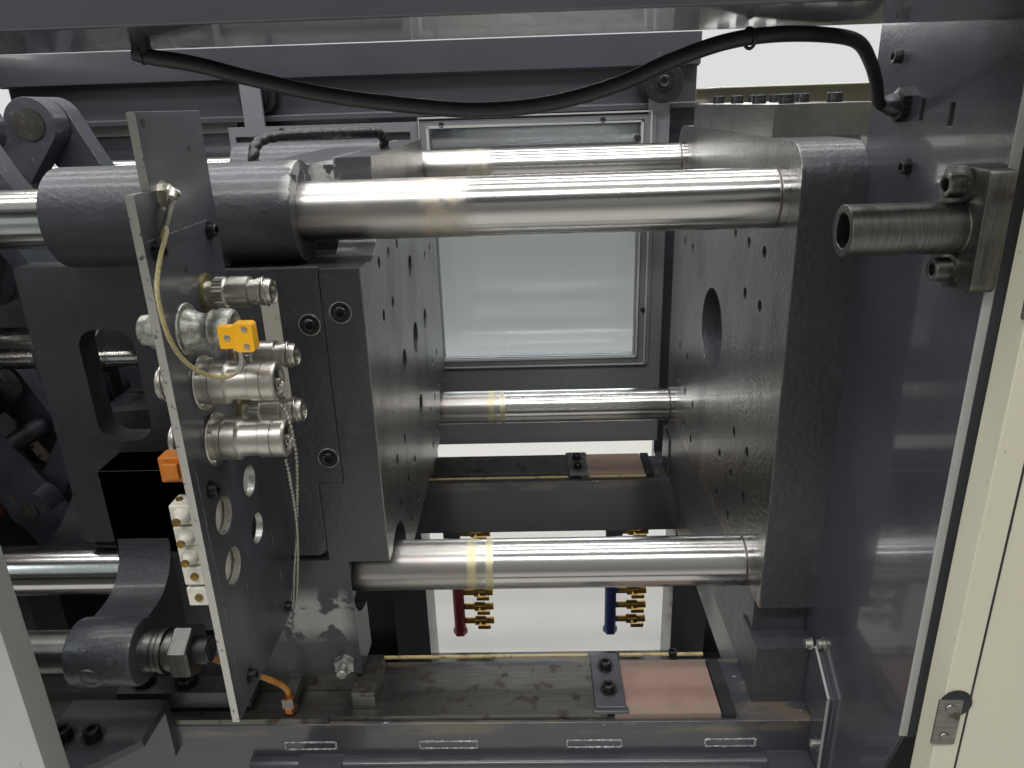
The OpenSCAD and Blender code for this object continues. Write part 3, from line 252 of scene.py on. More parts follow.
def build(name, parts, finish, body="machine", replaces=(), bevel=0.0, sharp=35):
    """Joins (points, faces) parts into one mesh in metres, closes seams and poles, and lets it ride."""
    verts, faces, picks, start = [], [], [], 0
    for part in parts:
        points, quads, pick = (*part, 0)[:3]
        verts.append(np.array(points, float) * MM)
        faces += [[i + start for i in q] for q in quads]
        picks += [pick] * len(quads)
        start += len(points)
    mesh = bpy.data.meshes.new(name)
    mesh.from_pydata(np.vstack(verts).tolist(), [], faces)
    mesh.polygons.foreach_set("material_index", picks)
    bm = bmesh.new()
    bm.from_mesh(mesh)
    bmesh.ops.remove_doubles(bm, verts=bm.verts, dist=2e-6)
    bmesh.ops.recalc_face_normals(bm, faces=bm.faces)
    bm.to_mesh(mesh)
    bm.free()
    return settle(name, mesh, finish, body, replaces, bevel, sharp)


def settle(name, mesh, finish, body, replaces, bevel, sharp):
    """Smooth faces with sharp edges, a live bevel, its finishes, named in one string, and its body."""
    mesh.shade_smooth()
    mesh.set_sharp_from_angle(angle=math.radians(sharp))
    for key in finish.split():
        mesh.materials.append(FINISHES[key])
    piece = bpy.data.objects.new(name, mesh)
    bpy.context.scene.collection.objects.link(piece)
    if bevel:
        round_off = piece.modifiers.new("Round", "BEVEL")
        round_off.width = bevel * MM
        round_off.segments = 2
        round_off.limit_method = "ANGLE"
        round_off.angle_limit = math.radians(sharp)
        round_off.use_clamp_overlap = True
        round_off.harden_normals = True
    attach(piece, body)
    if replaces:
        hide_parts(*replaces)
    return piece


def rounded(node, finish, width):
    """A copy of a solid with its triangles merged, its flat faces joined and its edges rounded."""
    mesh = frame["nodes"][node].data.copy()
    for layer in [a.name for a in mesh.attributes if a.name == "custom_normal"]:
        mesh.attributes.remove(mesh.attributes[layer])
    mesh.materials.clear()
    bm = bmesh.new()
    bm.from_mesh(mesh)
    bmesh.ops.remove_doubles(bm, verts=bm.verts, dist=1e-5)
    bmesh.ops.dissolve_limit(bm, angle_limit=math.radians(0.8), verts=bm.verts, edges=bm.edges)
    bm.to_mesh(mesh)
    bm.free()
    settle(node + "_finished", mesh, finish, BODY_OF[node], (node,), width, 32)


# ---------------------------------------------------------------- finishes

def add_node(tree, kind, inputs=None, **settings):
    """Adds a node to a tree, with its settings, and its inputs as values or as links."""
    node = tree.nodes.new(kind)
    for key, value in settings.items():
        setattr(node, key, value)
    for key, value in (inputs or {}).items():
        if isinstance(value, bpy.types.NodeSocket):
            tree.links.new(value, node.inputs[key])
        else:
            node.inputs[key].default_value = value
    return node


class Finish:
    """A material whose colour, roughness and metal change from place to place by laid masks."""

    def __init__(self, name, colour, roughness, metallic=0.0, **fixed):
        self.material = bpy.data.materials.new(name)
        self.material.use_nodes = True
        self.tree = self.material.node_tree
        self.shader = self.tree.nodes["Principled BSDF"]
        base = linear(colour) if isinstance(colour, str) else (*colour, 1.0)
        self.now = {"Base Color": base, "Roughness": roughness, "Metallic": metallic}
        for socket, value in (*self.now.items(), *fixed.items()):
            self.shader.inputs[socket.replace("_", " ")].default_value = value
        self.place = self.add("ShaderNodeTexCoord").outputs["Object"]
        self.material.diffuse_color = base

    def add(self, kind, inputs=None, **settings):
        """Adds a node to this material."""
        return add_node(self.tree, kind, inputs, **settings)

    def math(self, operation, a, b=0.0):
        """One sum worked out for every place on the surface."""
        return self.add("ShaderNodeMath", {0: a, 1: b}, operation=operation).outputs[0]

    def spots(self, size, low, high, stretch=EVEN, detail=4.0):
        """A noise whose features are about that many millimetres, sharpened between two levels."""
        where = self.add("ShaderNodeMapping", {"Vector": self.place, "Scale": stretch}).outputs[0]
        noise = self.add("ShaderNodeTexNoise", {"Vector": where, "Scale": 1000.0 / size, "Detail": detail})
        return self.add("ShaderNodeMapRange", {"Value": noise.outputs["Fac"], "From Min": low, "From Max": high},
                        interpolation_type="SMOOTHSTEP").outputs[0]

    def part(self, mask, *spots):
        """Spots that show only where the mask is 1."""
        return self.math("MULTIPLY", mask, self.spots(*spots))

    def within(self, soft, **ranges):
        """A mask that is 1 between the given limits of x, y or z and fades over the soft width, all in mm."""
        parts = self.add("ShaderNodeSeparateXYZ", {0: self.place}).outputs
        result = None
        for axis, (low, high) in ranges.items():
            value = parts["xyz".index(axis)]
            for edge, sign in ((low, 1), (high, -1)):
                step = self.add("ShaderNodeMapRange", {
                    "Value": value, "From Min": (edge - sign * soft) * MM, "From Max": (edge + sign * soft) * MM})
                result = step.outputs[0] if result is None else self.math("MULTIPLY", result, step.outputs[0])
        return result

    def facing(self, axis, share):
        """A mask that is 1 where more than that share of the face's direction lies along the axis."""
        normal = self.add("ShaderNodeNewGeometry").outputs["Normal"]
        part = self.add("ShaderNodeSeparateXYZ", {0: normal}).outputs["xyz".index(axis)]
        return self.math("GREATER_THAN", self.math("ABSOLUTE", part), share)

    def lay(self, mask, **new):
        """Lays new values over the present ones where the mask is 1."""
        names = {"colour": "Base Color", "roughness": "Roughness", "metallic": "Metallic"}
        for key, value in new.items():
            socket = names[key]
            if key == "colour":
                value = linear(value) if isinstance(value, str) else (*value, 1.0)
                mix = self.add("ShaderNodeMix", {0: mask, 6: self.now[socket], 7: value}, data_type="RGBA")
                out = mix.outputs[2]
            else:
                mix = self.add("ShaderNodeMix", {0: mask, 2: self.now[socket], 3: value}, data_type="FLOAT")
                out = mix.outputs[0]
            self.now[socket] = out
            self.tree.links.new(out, self.shader.inputs[socket])

    def bump(self, size, depth, stretch=EVEN, detail=3.0):
        """Bumps of about that size and depth, both in millimetres."""
        inputs = {"Height": self.spots(size, 0.2, 0.8, stretch, detail), "Distance": depth * MM}
        if self.shader.inputs["Normal"].links:
            inputs["Normal"] = self.shader.inputs["Normal"].links[0].from_socket
        node = self.add("ShaderNodeBump", inputs)
        self.tree.links.new(node.outputs[0], self.shader.inputs["Normal"])


# Each finish's material by the short name that the pieces ask for it by
FINISHES = {}


def simple(key, name, colour, roughness, metallic=0.0, layers=(), bumps=(), **fixed):
    """A finish with noise laid over it; a layer is the spots' values, a colour, a roughness and a metal."""
    f = Finish(name, colour, roughness, metallic, **fixed)
    for spots, *values in layers:
        named = zip(("colour", "roughness", "metallic"), values)
        f.lay(f.spots(*spots), **{k: v for k, v in named if v is not None})
    for bump in bumps:
        f.bump(*bump)
    FINISHES[key] = f.material
    return f


def casting(key, name, colours):
    """Enamel on grey iron, brushed over the sand skin: 7 mm lumps under a gloss, dust and rubbed spots."""
    return simple(
        key, name, tuple(colours.casting), 0.42, 0.0,
        [((160, 0.4, 0.7), "#343539", 0.5), ((28, 0.55, 0.8), "#46474c"), ((3.2, 0.74, 0.79), "#75777c", 0.6)],
        [(60, 0.8), (7, 0.55, EVEN, 5.0)], Coat_Weight=0.22, Coat_Roughness=0.16)


def ground_face(f, mask):
    """Ground steel in a mask: upright grinding lines, soft stains and a thin film of oil."""
    f.lay(mask, metallic=1.0, roughness=0.3, colour="#7b7a77")
    f.lay(f.part(mask, 2.4, 0.3, 0.8, (1, 1, 0.03), 2.0), colour="#83817d", roughness=0.33)
    f.lay(f.part(mask, 130, 0.45, 0.75, (1, 1, 0.6), 4.0), colour="#5f5d5a", roughness=0.38)


def paint_finishes(colours):
    casting("casting", "Enamel on grey iron", colours)

    # The fixed platen: its mould face ground, a little rust at the foot of it
    f = casting("fixed_casting", "Enamel and ground face, fixed platen", colours)
    ground_face(f, f.within(x=(-9, 1.4), z=(-283.5, 320), soft=0.2))
    rust = f.part(f.within(x=(-9, 1.2), z=(-282, -262), soft=4), 9, 0.5, 0.6)
    f.lay(rust, colour="#7a4a30", roughness=0.7, metallic=0.0)

    # The moving platen: its mould face ground, paint chipped to primer on the lower leg and at a notch
    f = casting("moving_casting", "Enamel and ground face, moving platen", colours)
    ground_face(f, f.within(x=(MOVE_X - 1.4, MOVE_X + 9), z=(-284, 312), soft=0.2))
    chip = f.part(f.within(x=(-650, -552), y=(-362, -330), z=(-318, -252), soft=14), 38, 0.42, 0.47, EVEN, 6.0)
    f.lay(chip, colour="#a9aaa6", roughness=0.7)
    notch = f.part(f.within(x=(-570, -535), z=(268, 320), soft=6), 22, 0.46, 0.5, EVEN, 6.0)
    f.lay(notch, colour="#9b9c98", roughness=0.6)

    # Two-coat enamel on welded steel plate: nearly flat, oily smears, chips to bare steel along edges
    f = simple("bed", "Enamel on welded plate", tuple(colours.casting), 0.3, 0.0,
               [((220, 0.42, 0.7, (1, 1, 1.5)), "#3a3c43", 0.4), ((12, 0.7, 0.78), "#55575e", 0.5)],
               [(40, 0.25), (2.5, 0.05)], Coat_Weight=0.4, Coat_Roughness=0.1)
    oil = f.part(f.within(z=(-446, -421), soft=4), 30, 0.45, 0.62, (0.3, 1, 1))
    f.lay(oil, colour="#5d554a", roughness=0.28)
    flake = f.part(f.within(z=(-432, -424), soft=1), 6, 0.66, 0.7, (0.35, 1, 1))
    f.lay(flake, colour="#a9a8a2", roughness=0.65)

    # Glossy powder coat on sheet steel: orange peel about 3 mm across, faint rubbed streaks
    simple("sheet", "Gloss powder coat, dark grey", tuple(colours.sheet), 0.2, 0.0,
           [((140, 0.42, 0.7), "#35373d", 0.26), ((5, 0.76, 0.8, (1, 1, 0.25)), "#6e7076", 0.5)],
           [(3.0, 0.06), (160, 0.9)], Coat_Weight=0.6, Coat_Roughness=0.06)

    # The same coat on the bracket, its cut edges rubbed bright
    f = simple("bracket", "Powder coat with rubbed edges", tuple(colours.sheet), 0.36, 0.0,
               [((50, 0.45, 0.75), "#4a4c53", 0.45), ((2.2, 0.72, 0.78), "#74767b", 0.6)],
               [(3.0, 0.04)], Coat_Weight=0.3, Coat_Roughness=0.15)
    rim = f.part(f.math("SUBTRACT", 1.0, f.facing("x", 0.6)), 9, 0.3, 0.42, EVEN, 6.0)
    f.lay(rim, colour="#b3b2ac", roughness=0.38, metallic=0.8)

    # Powder coats of covers, doors and rear guard: fine even peel, grey hand marks
    simple("cream", "Cream powder coat", tuple(colours.cover), 0.42, 0.0,
           [((320, 0.35, 0.9), "#c0bda9", 0.46), ((9, 0.69, 0.75, (1, 1, 0.4)), "#8f8d80", 0.6)],
           [(2.5, 0.04)], Coat_Weight=0.15, Coat_Roughness=0.3)
    simple("door", "Light grey powder coat", tuple(colours.door), 0.4, 0.0,
           [((260, 0.35, 0.9), "#979998", 0.44), ((6, 0.69, 0.75, (1, 1, 0.3)), "#6d6e70", 0.6)],
           [(2.5, 0.04)], Coat_Weight=0.2, Coat_Roughness=0.2)
    simple("guard", "Grey powder coat, rear guard", "#6b6d70", 0.42, 0.0,
           [((260, 0.35, 0.9), "#626469", 0.46), ((8, 0.66, 0.74, (1, 1, 0.3)), "#8b8d8e", 0.55)],
           [(2.5, 0.04)], Coat_Weight=0.2, Coat_Roughness=0.2)

    # Matt black enamel of motors and cylinders, with dust in the fins
    simple("black_enamel", "Matt black enamel", "#2d2e33", 0.5, 0.0, [((40, 0.5, 0.75), "#3d3e42", 0.6)], [(4, 0.1)])

    # Links and crosshead: milled steel castings under thin enamel, greasy
    simple("link", "Thin enamel on toggle castings", "#3e4048", 0.36, 0.0,
           [((60, 0.45, 0.7), "#31333a", 0.3), ((16, 0.62, 0.7), "#5b5650", 0.5)],
           [(9, 0.25, EVEN, 5.0)], Coat_Weight=0.3, Coat_Roughness=0.15)

    # The injection unit's enamel, with the bare barrel tinted brown by heat towards its nozzle
    f = simple("unit", "Grey enamel, injection unit", "#7f8286", 0.36, 0.0,
               [((150, 0.42, 0.7), "#6f7277", 0.45)], [(8, 0.12)], Coat_Weight=0.3, Coat_Roughness=0.15)
    core = {"y": (-60, 60), "z": (-60, 60)}
    f.lay(f.within(x=(40, 1012), soft=1, **core), colour="#8c8a84", roughness=0.34, metallic=1.0)
    f.lay(f.part(f.within(x=(40, 300), soft=20, **core), 30, 0.4, 0.6), colour="#7a6248")


def metal_finishes():
    # Hard chrome on ground bars: mirror-like along the bar, dull rubbed ends, pale grease rings
    f = simple("chrome", "Hard chrome on tie bars", "#bdbcb9", 0.16, 1.0,
               [((2.0, 0.3, 0.8, (0.012, 1, 1), 2.0), None, 0.2)])
    worn = f.within(x=(-720, -368), soft=14)
    f.lay(worn, colour="#a6a4a0", roughness=0.32)
    f.lay(f.part(worn, 26, 0.5, 0.7, (0.5, 1, 1)), colour="#aca39e", roughness=0.38)
    low = {"z": (-300, -190), "soft": 2}
    rings = f.math("MAXIMUM", f.within(x=(-392, -380), **low), f.within(x=(-366, -357), **low))
    f.lay(f.part(rings, 16, 0.3, 0.5), colour="#cbc39f", roughness=0.5)
    smear = f.part(f.within(x=(-420, -372), z=(200, 300), soft=6), 12, 0.35, 0.6)
    f.lay(smear, colour="#bdb6a6", roughness=0.45)
    f.lay(f.within(x=(-12, -9), soft=1.2), colour="#4d4740", roughness=0.5)

    # Ground plate steel: grinding lines along Y, light oil stains
    simple("ground", "Ground steel plate", "#9a9994", 0.3, 1.0,
           [((1.5, 0.35, 0.75, (1, 0.03, 1), 2.0), "#acaba6", 0.36), ((60, 0.5, 0.75), "#83817b", 0.4)])

    # Phosphated screws: near black, grey where the key has rubbed
    simple("screw", "Black phosphated steel", "#38393c", 0.38, 0.85,
           [((3.0, 0.55, 0.7), "#6a6a6a", 0.35)], [(1.5, 0.04)])

    # Turned bars: fine rings from the tool, brown where the oil has dried
    simple("turned", "Turned steel, oiled", "#5c5c5a", 0.32, 0.95,
           [((1.2, 0.3, 0.75, (1, 0.05, 0.05), 2.0), "#73726e", 0.4), ((24, 0.55, 0.72), "#4a4640", 0.5)])

    # Bright pins: ground and greased
    simple("pin", "Ground pin steel", "#a5a39c", 0.22, 1.0, [((14, 0.5, 0.7), "#7f7c75", 0.35)])

    # Slideway strips: hardened steel, oil-dark, brown blooms; the wiped plate has a pink rust film
    f = simple("slideway", "Hardened slideway steel", "#5d5c59", 0.34, 0.9,
               [((3, 0.35, 0.75, (0.06, 1, 1), 2.0), "#6c6b67", 0.4), ((26, 0.54, 0.66, EVEN, 6.0), "#4b443c", 0.5)],
               [(5, 0.03)])
    plate = f.within(x=(-196, -51), soft=0.4)
    f.lay(plate, colour="#93766d", roughness=0.6, metallic=0.2)
    f.lay(f.part(plate, 40, 0.45, 0.75, EVEN, 6.0), colour="#80635c", roughness=0.6)
    edge = f.within(x=(-190, -60), y=(-386, -316), soft=11)
    tan = f.math("MULTIPLY", plate, f.math("SUBTRACT", 1.0, edge))
    f.lay(f.part(tan, 12, 0.35, 0.6, EVEN, 6.0), colour="#85796a", roughness=0.5)
    f.lay(f.within(x=(-51, -31), soft=0.4), colour="#1d1d1f", roughness=0.5, metallic=0.0)

    # Milled blocks: cutter lines along X, brown oil
    simple("milled", "Milled steel block", "#6f6e6a", 0.36, 0.9,
           [((2, 0.35, 0.7, (0.05, 1, 1), 2.0), "#83827d"), ((20, 0.56, 0.68), "#544c42", 0.55)])

    # Platings: dull warm nickel with water spots, flecked zinc, yellow passivated zinc
    simple("nickel", "Nickel plated brass", "#bbb8af", 0.36, 1.0, [((16, 0.55, 0.75), "#a19d93", 0.44)])
    simple("zinc", "Galvanised fitting, pitted", "#9a9b94", 0.42, 0.9,
           [((9, 0.45, 0.62, EVEN, 6.0), "#c3c3ba", 0.55), ((4, 0.6, 0.7), "#6d6a5f")], [(3, 0.12)])
    simple("passivated", "Yellow passivated zinc", "#a59a6c", 0.36, 0.95, [((6, 0.5, 0.7), "#8a7a4c", 0.45)])

    # Manifolds: brass valves on pipes enamelled red for the return and blue for the supply
    f = simple("brass", "Cast brass on enamelled pipes", "#94793f", 0.42, 1.0,
               [((8, 0.5, 0.7), "#765c34", 0.52)], [(3, 0.06)])
    pipe = {"y": (444, 485.5)}
    for area, paint in (({"x": (-526.5, -487.5), **pipe}, "#8e2b2e"), ({"x": (-124.5, -85.5), **pipe}, "#2b3a7c"),
                        ({"y": (400, 413.5)}, "#43454c")):
        f.lay(f.within(soft=0.3, **area), colour=paint, roughness=0.4, metallic=0.0)

    # Tarnished copper; heater bands of rolled stainless sheet, straw coloured by heat
    simple("copper", "Copper fitting, tarnished", "#a8683f", 0.34, 1.0, [((6, 0.5, 0.7), "#7a4a2e", 0.45)])
    simple("band", "Heat tinted stainless band", "#a39c8c", 0.3, 1.0,
           [((30, 0.45, 0.7, (0.4, 1, 1)), "#8a7452", 0.36)])

    # Roller chain and sprockets: dark and oiled, rust between the plates and teeth
    simple("chain", "Oiled chain steel", "#4d4640", 0.42, 0.85, [((9, 0.45, 0.62), "#7a4d31", 0.7, 0.3)], [(2, 0.06)])
    simple("sprocket", "Cut sprocket steel", "#66625c", 0.38, 0.9, [((14, 0.5, 0.68), "#74563f", 0.6)])


def plastic_finishes(colours):
    # Rubber cable jacket: satin, grey dust; moulded nylon: black, faintly uneven gloss
    simple("rubber", "Black rubber jacket", "#1a1a1c", 0.42, 0.0,
           [((12, 0.55, 0.75), "#2c2c2e", 0.55)], [(1.5, 0.02)])
    simple("nylon", "Black moulded nylon", "#161618", 0.35, 0.0, [((10, 0.5, 0.75), "#232326", 0.45)])

    # Clear amber nylon tube: light passes a little, darker inside
    simple("amber", "Amber nylon tube", tuple(colours.grease), 0.28, 0.0, [((20, 0.5, 0.7), "#8a5a1e")],
           Subsurface_Weight=0.2, Coat_Weight=0.3)

    # Woven glass fibre lead: threads about 0.5 mm wide, drawn at 1.2 mm so that they show
    simple("lead", "Woven glass fibre jacket", "#aea47b", 0.65, 0.0,
           [((1.2, 0.45, 0.6), "#8a7d52", 0.75)], [(1.2, 0.1)])

    # Moulded plastics: plain colours a little darker where hands and dust have been
    simple("orange", "Orange moulded terminal", "#b96a16", 0.4, 0.0, [((10, 0.55, 0.75), "#94510f")])
    simple("key", "Grey key cap, moulded ABS", "#7b7f84", 0.45, 0.0, [((6, 0.55, 0.75), "#6c7075", 0.5)])
    simple("plug", "Yellow moulded plug", tuple(colours.plug), 0.35, 0.0, [((12, 0.6, 0.75), "#d2950e", 0.45)])
    simple("terminal", "White moulded terminal", "#d9d5c8", 0.4, 0.0, [((10, 0.55, 0.75), "#bdb8a8", 0.5)])
    simple("red", "Red mushroom button", "#b01c18", 0.3, 0.0, [((14, 0.55, 0.8), "#991611", 0.4)])
    simple("seal", "Yellow wiper seal", "#b9a878", 0.5, 0.0, [((10, 0.5, 0.7), "#8d7c52")])

    # Clear window and dark screen: only their gloss changes, with smears
    simple("window", "Polycarbonate window", "#dfe8ec", 0.06, 0.0, [((80, 0.55, 0.8), None, 0.16)],
           Transmission_Weight=0.96, IOR=1.58)
    simple("screen", "Dark screen glass", "#14181d", 0.08, 0.0, [((90, 0.5, 0.8), None, 0.14)], Coat_Weight=0.5)

    # Scratches to bare metal, drawn 0.8 mm wide so that they show; near-black painted shade for holes, counterbores,
    # coupling mouths and louvres, also the covers' dark seams and black lock; painted weld ripples
    simple("scratch", "Scratched paint", "#8f9093", 0.5, 0.4, [((5, 0.45, 0.6), "#5d5f64")])
    simple("recess", "Painted hole shade and dark seams", "#17181b", 0.6, 0.0, [((5, 0.5, 0.7), "#202125")])
    simple("weld", "Painted weld bead", "#6b6e74", 0.38, 0.0, [((3, 0.5, 0.62), "#b9bab8", 0.5)], [(3, 0.3)],
           Coat_Weight=0.3)


# ---------------------------------------------------------------- cords, in the solids' own places

DOOR_CABLE = [
    [-585, -598, 404.5], [-572, -598, 401], [-540, -598, 395], [-500, -598, 384], [-440, -598, 370],
    [-361, -598, 359], [-316, -598, 357], [-271, -598, 361], [-226, -598, 372], [-190, -597, 386],
    [-150, -592, 398], [-110, -580, 403], [-60, -548, 403.5], [-20, -510, 400], [10, -468, 386],
    [30, -440, 368], [42, -420, 354], [50, -412.5, 348.3], [57.7, -412, 348]]
SENSOR_LEAD = [
    [-615, -550, 257.3], [-613, -551, 264], [-607, -556, 270], [-601, -570, 266], [-600, -588, 252],
    [-600, -603, 232], [-600, -606, 212], [-600, -600, 184], [-598, -586, 160], [-590, -570, 142],
    [-578, -558, 134], [-566, -552, 138], [-562, -551, 148], [-562, -551, 157.7]]
GREASE_HOSE = [
    [-769.7, -432, -268], [-760, -431, -270], [-742, -426, -280], [-716, -421, -300], [-686, -414, -324],
    [-660, -404, -348], [-646, -396, -366], [-640, -392, -380], [-640, -391, -389.7]]
TOP_HOSE = [
    [-650, -196, 296.3], [-650, -195, 306], [-649, -186, 318], [-645, -168, 326], [-625, -150, 330],
    [-590, -138, 331], [-550, -126, 331], [-520, -112, 330], [-506, -92, 328], [-503, -72, 322],
    [-503, -66, 313], [-503, -65, 305.3]]
BEAD_1 = [
    [-546, -515, 90.7], [-542, -514, 82], [-540.5, -511, 66], [-540.5, -507, 44], [-543, -501, 18],
    [-552, -490, -30], [-566, -472, -90], [-583, -450, -150], [-599, -424, -206], [-607, -411, -228],
    [-608.6, -404, -235]]
BEAD_2 = [
    [-550, -512, 28.7], [-551, -506, 4], [-557, -488, -52], [-568, -467, -106], [-583, -442, -162],
    [-599, -414, -212], [-607, -400, -228], [-608.6, -396, -234]]


class MOULDING_OT_camera(bpy.types.Operator):
    """Sets the camera at the operator's eye height before the open front guard"""
    bl_idname = "moulding.camera"
    bl_label = "Camera"

    def execute(self, context):
        camera = bpy.data.objects.new("camera", bpy.data.cameras.new("camera"))
        camera.data.lens = 26.41
        camera.data.sensor_width = 36
        camera.data.clip_start = 0.02
        right, up = np.array((0.99933, 0.01939, -0.03081)), np.array((0.02208, 0.35012, 0.93632))
        back = np.cross(right, up)
        turn = Matrix(np.column_stack([right, up, back]).tolist()).to_4x4()
        camera.matrix_world = Matrix.Translation((-0.2949, -1.1993, 0.3607)) @ turn
        context.scene.collection.objects.link(camera)
        context.scene.camera = camera
        return {"FINISHED"}


class MOULDING_OT_cords(bpy.types.Operator):
    """Hangs the door cable, the hoses, the sensor lead and the two bead chains"""
    bl_idname = "moulding.cords"
    bl_label = "Cords"

    def execute(self, context):
        sizes = context.scene.moulding_sizes
        path = smooth(DOOR_CABLE, 8)
        cable = build("door_cable_jacket", [tube(path, 5.75, 20)], "rubber", replaces=["door_cable"])
        path = smooth(SENSOR_LEAD, 8)
        lead = build("sensor_lead_jacket", [tube(path, 2.0, 10, (0.9, 0.1, 0.2))], "lead",
                     "moving_platen", ["sensor_lead"])
        path = smooth(GREASE_HOSE, 8)
        grease = build("grease_hose_tube", [tube(path, 4.0, 14, FAR)], "amber",
                       "moving_platen", ["grease_hose"])
        # The hose's wrap: its radius rises in a ridge where length / pitch less angle / turn is near whole
        pitch = sizes.wrap_pitch / MM
        path = smooth(TOP_HOSE, 14)

        def wrap(length, turn):
            phase = (length / pitch - turn / (2 * np.pi)) % 1
            return 0.74 + 0.26 * np.abs(np.sin(np.pi * phase)) ** 0.7

        hose = build("top_hose_wrapped", [tube(path, 7.5, 20, (0.3, 0.35, 0.2), wrap)], "nylon",
                     "moving_platen", ["top_hose"], sharp=80)
        for name, points in (("bead_chain_1", BEAD_1), ("bead_chain_2", BEAD_2)):
            path = smooth(points, 8)
            steps = along(path)
            count = int(steps[-1] / (sizes.bead_pitch / MM))
            spots = np.linspace(2.1, steps[-1] - 2.1, count)
            centres = np.column_stack([np.interp(spots, steps, path[:, k]) for k in range(3)])
            rows = [(-2.1, 0), (-1.5, 1.5), (0, 2.1), (1.5, 1.5), (2.1, 0)]
            beads = [turned(rows, c, UP, 10) for c in centres]
            piece = build(name, beads + [tube(path, 0.5, 5, (0.9, 0.3, 0.1))], "nickel",
                          "moving_platen", ["ball_chains"])
        return {"FINISHED"}


class MOULDING_OT_stage(bpy.types.Operator):
    """Makes the pale floor, the soft lamps and the pale surroundings"""
    bl_idname = "moulding.stage"
    bl_label = "Stage"

    def execute(self, context):
        points = np.array([[(x, y, 0) for y in (-9000, 9000)] for x in (-9000, 9000)], float)
        floor = bpy.data.meshes.new("floor")
        verts, faces = grid(points + (0, 0, -1150), wrap=False)
        floor.from_pydata((verts * MM).tolist(), [], faces)
        floor.materials.append(Finish("Pale floor", "#d5d4cf", 0.6).material)
        piece = bpy.data.objects.new("floor", floor)
        context.scene.collection.objects.link(piece)
        lamps = (
            ("key", (-0.6, -2.2, 2.6), (2.6, 0.5), 62, (38, 0, -6)),
            ("strip_front", (-0.3, -0.55, 2.1), (4.2, 0.14), 34, (0, 0, 0)),
            ("strip_middle", (-0.3, 0.25, 2.1), (4.2, 0.16), 30, (0, 0, 0)),
            ("strip_rear", (-0.3, 1.1, 2.1), (4.2, 0.16), 26, (-12, 0, 0)),
            ("fill_left", (-3.4, -1.6, 1.2), (1.6, 1.6), 40, (70, 0, -60)),
            ("rear_fill", (-0.3, 3.6, 1.0), (3.0, 0.8), 40, (-75, 0, 0)),
        )
        for name, place, (width, depth), watts, turn in lamps:
            lamp = bpy.data.lights.new(name, "AREA")
            lamp.shape = "RECTANGLE"
            lamp.size, lamp.size_y, lamp.energy = width, depth, watts
            piece = bpy.data.objects.new(name, lamp)
            piece.location = place
            piece.rotation_euler = [math.radians(a) for a in turn]
            context.scene.collection.objects.link(piece)
        # Light from the surroundings: dim below, brighter overhead, as under a workshop's ceiling
        world = bpy.data.worlds.new("Surroundings")
        world.use_nodes = True
        tree = world.node_tree
        where = add_node(tree, "ShaderNodeTexCoord").outputs["Generated"]
        height = add_node(tree, "ShaderNodeSeparateXYZ", {0: where}).outputs[2]
        rise = add_node(tree, "ShaderNodeMapRange", {
            "Value": height, "From Min": -0.6, "From Max": 0.9, "To Min": 0.12, "To Max": 0.55})
        light = tree.nodes["Background"]
        light.inputs[0].default_value = linear("#eceae6")
        tree.links.new(rise.outputs[0], light.inputs[1])
        # What the camera sees behind the machine, straight or through a window: an even pale grey
        seen = add_node(tree, "ShaderNodeBackground", {0: linear("#dcdddd"), 1: 1.0})
        rays = add_node(tree, "ShaderNodeLightPath").outputs
        show = add_node(tree, "ShaderNodeMath", {0: rays["Is Camera Ray"], 1: rays["Is Transmission Ray"]},
                        operation="MAXIMUM")
        mix = add_node(tree, "ShaderNodeMixShader", {
            0: show.outputs[0], 1: light.outputs[0], 2: seen.outputs[0]})
        tree.links.new(mix.outputs[0], tree.nodes["World Output"].inputs[0])
        context.scene.world = world
        context.scene.view_settings.view_transform = "Standard"
        return {"FINISHED"}


# ---------------------------------------------------------------- the machine's own pieces

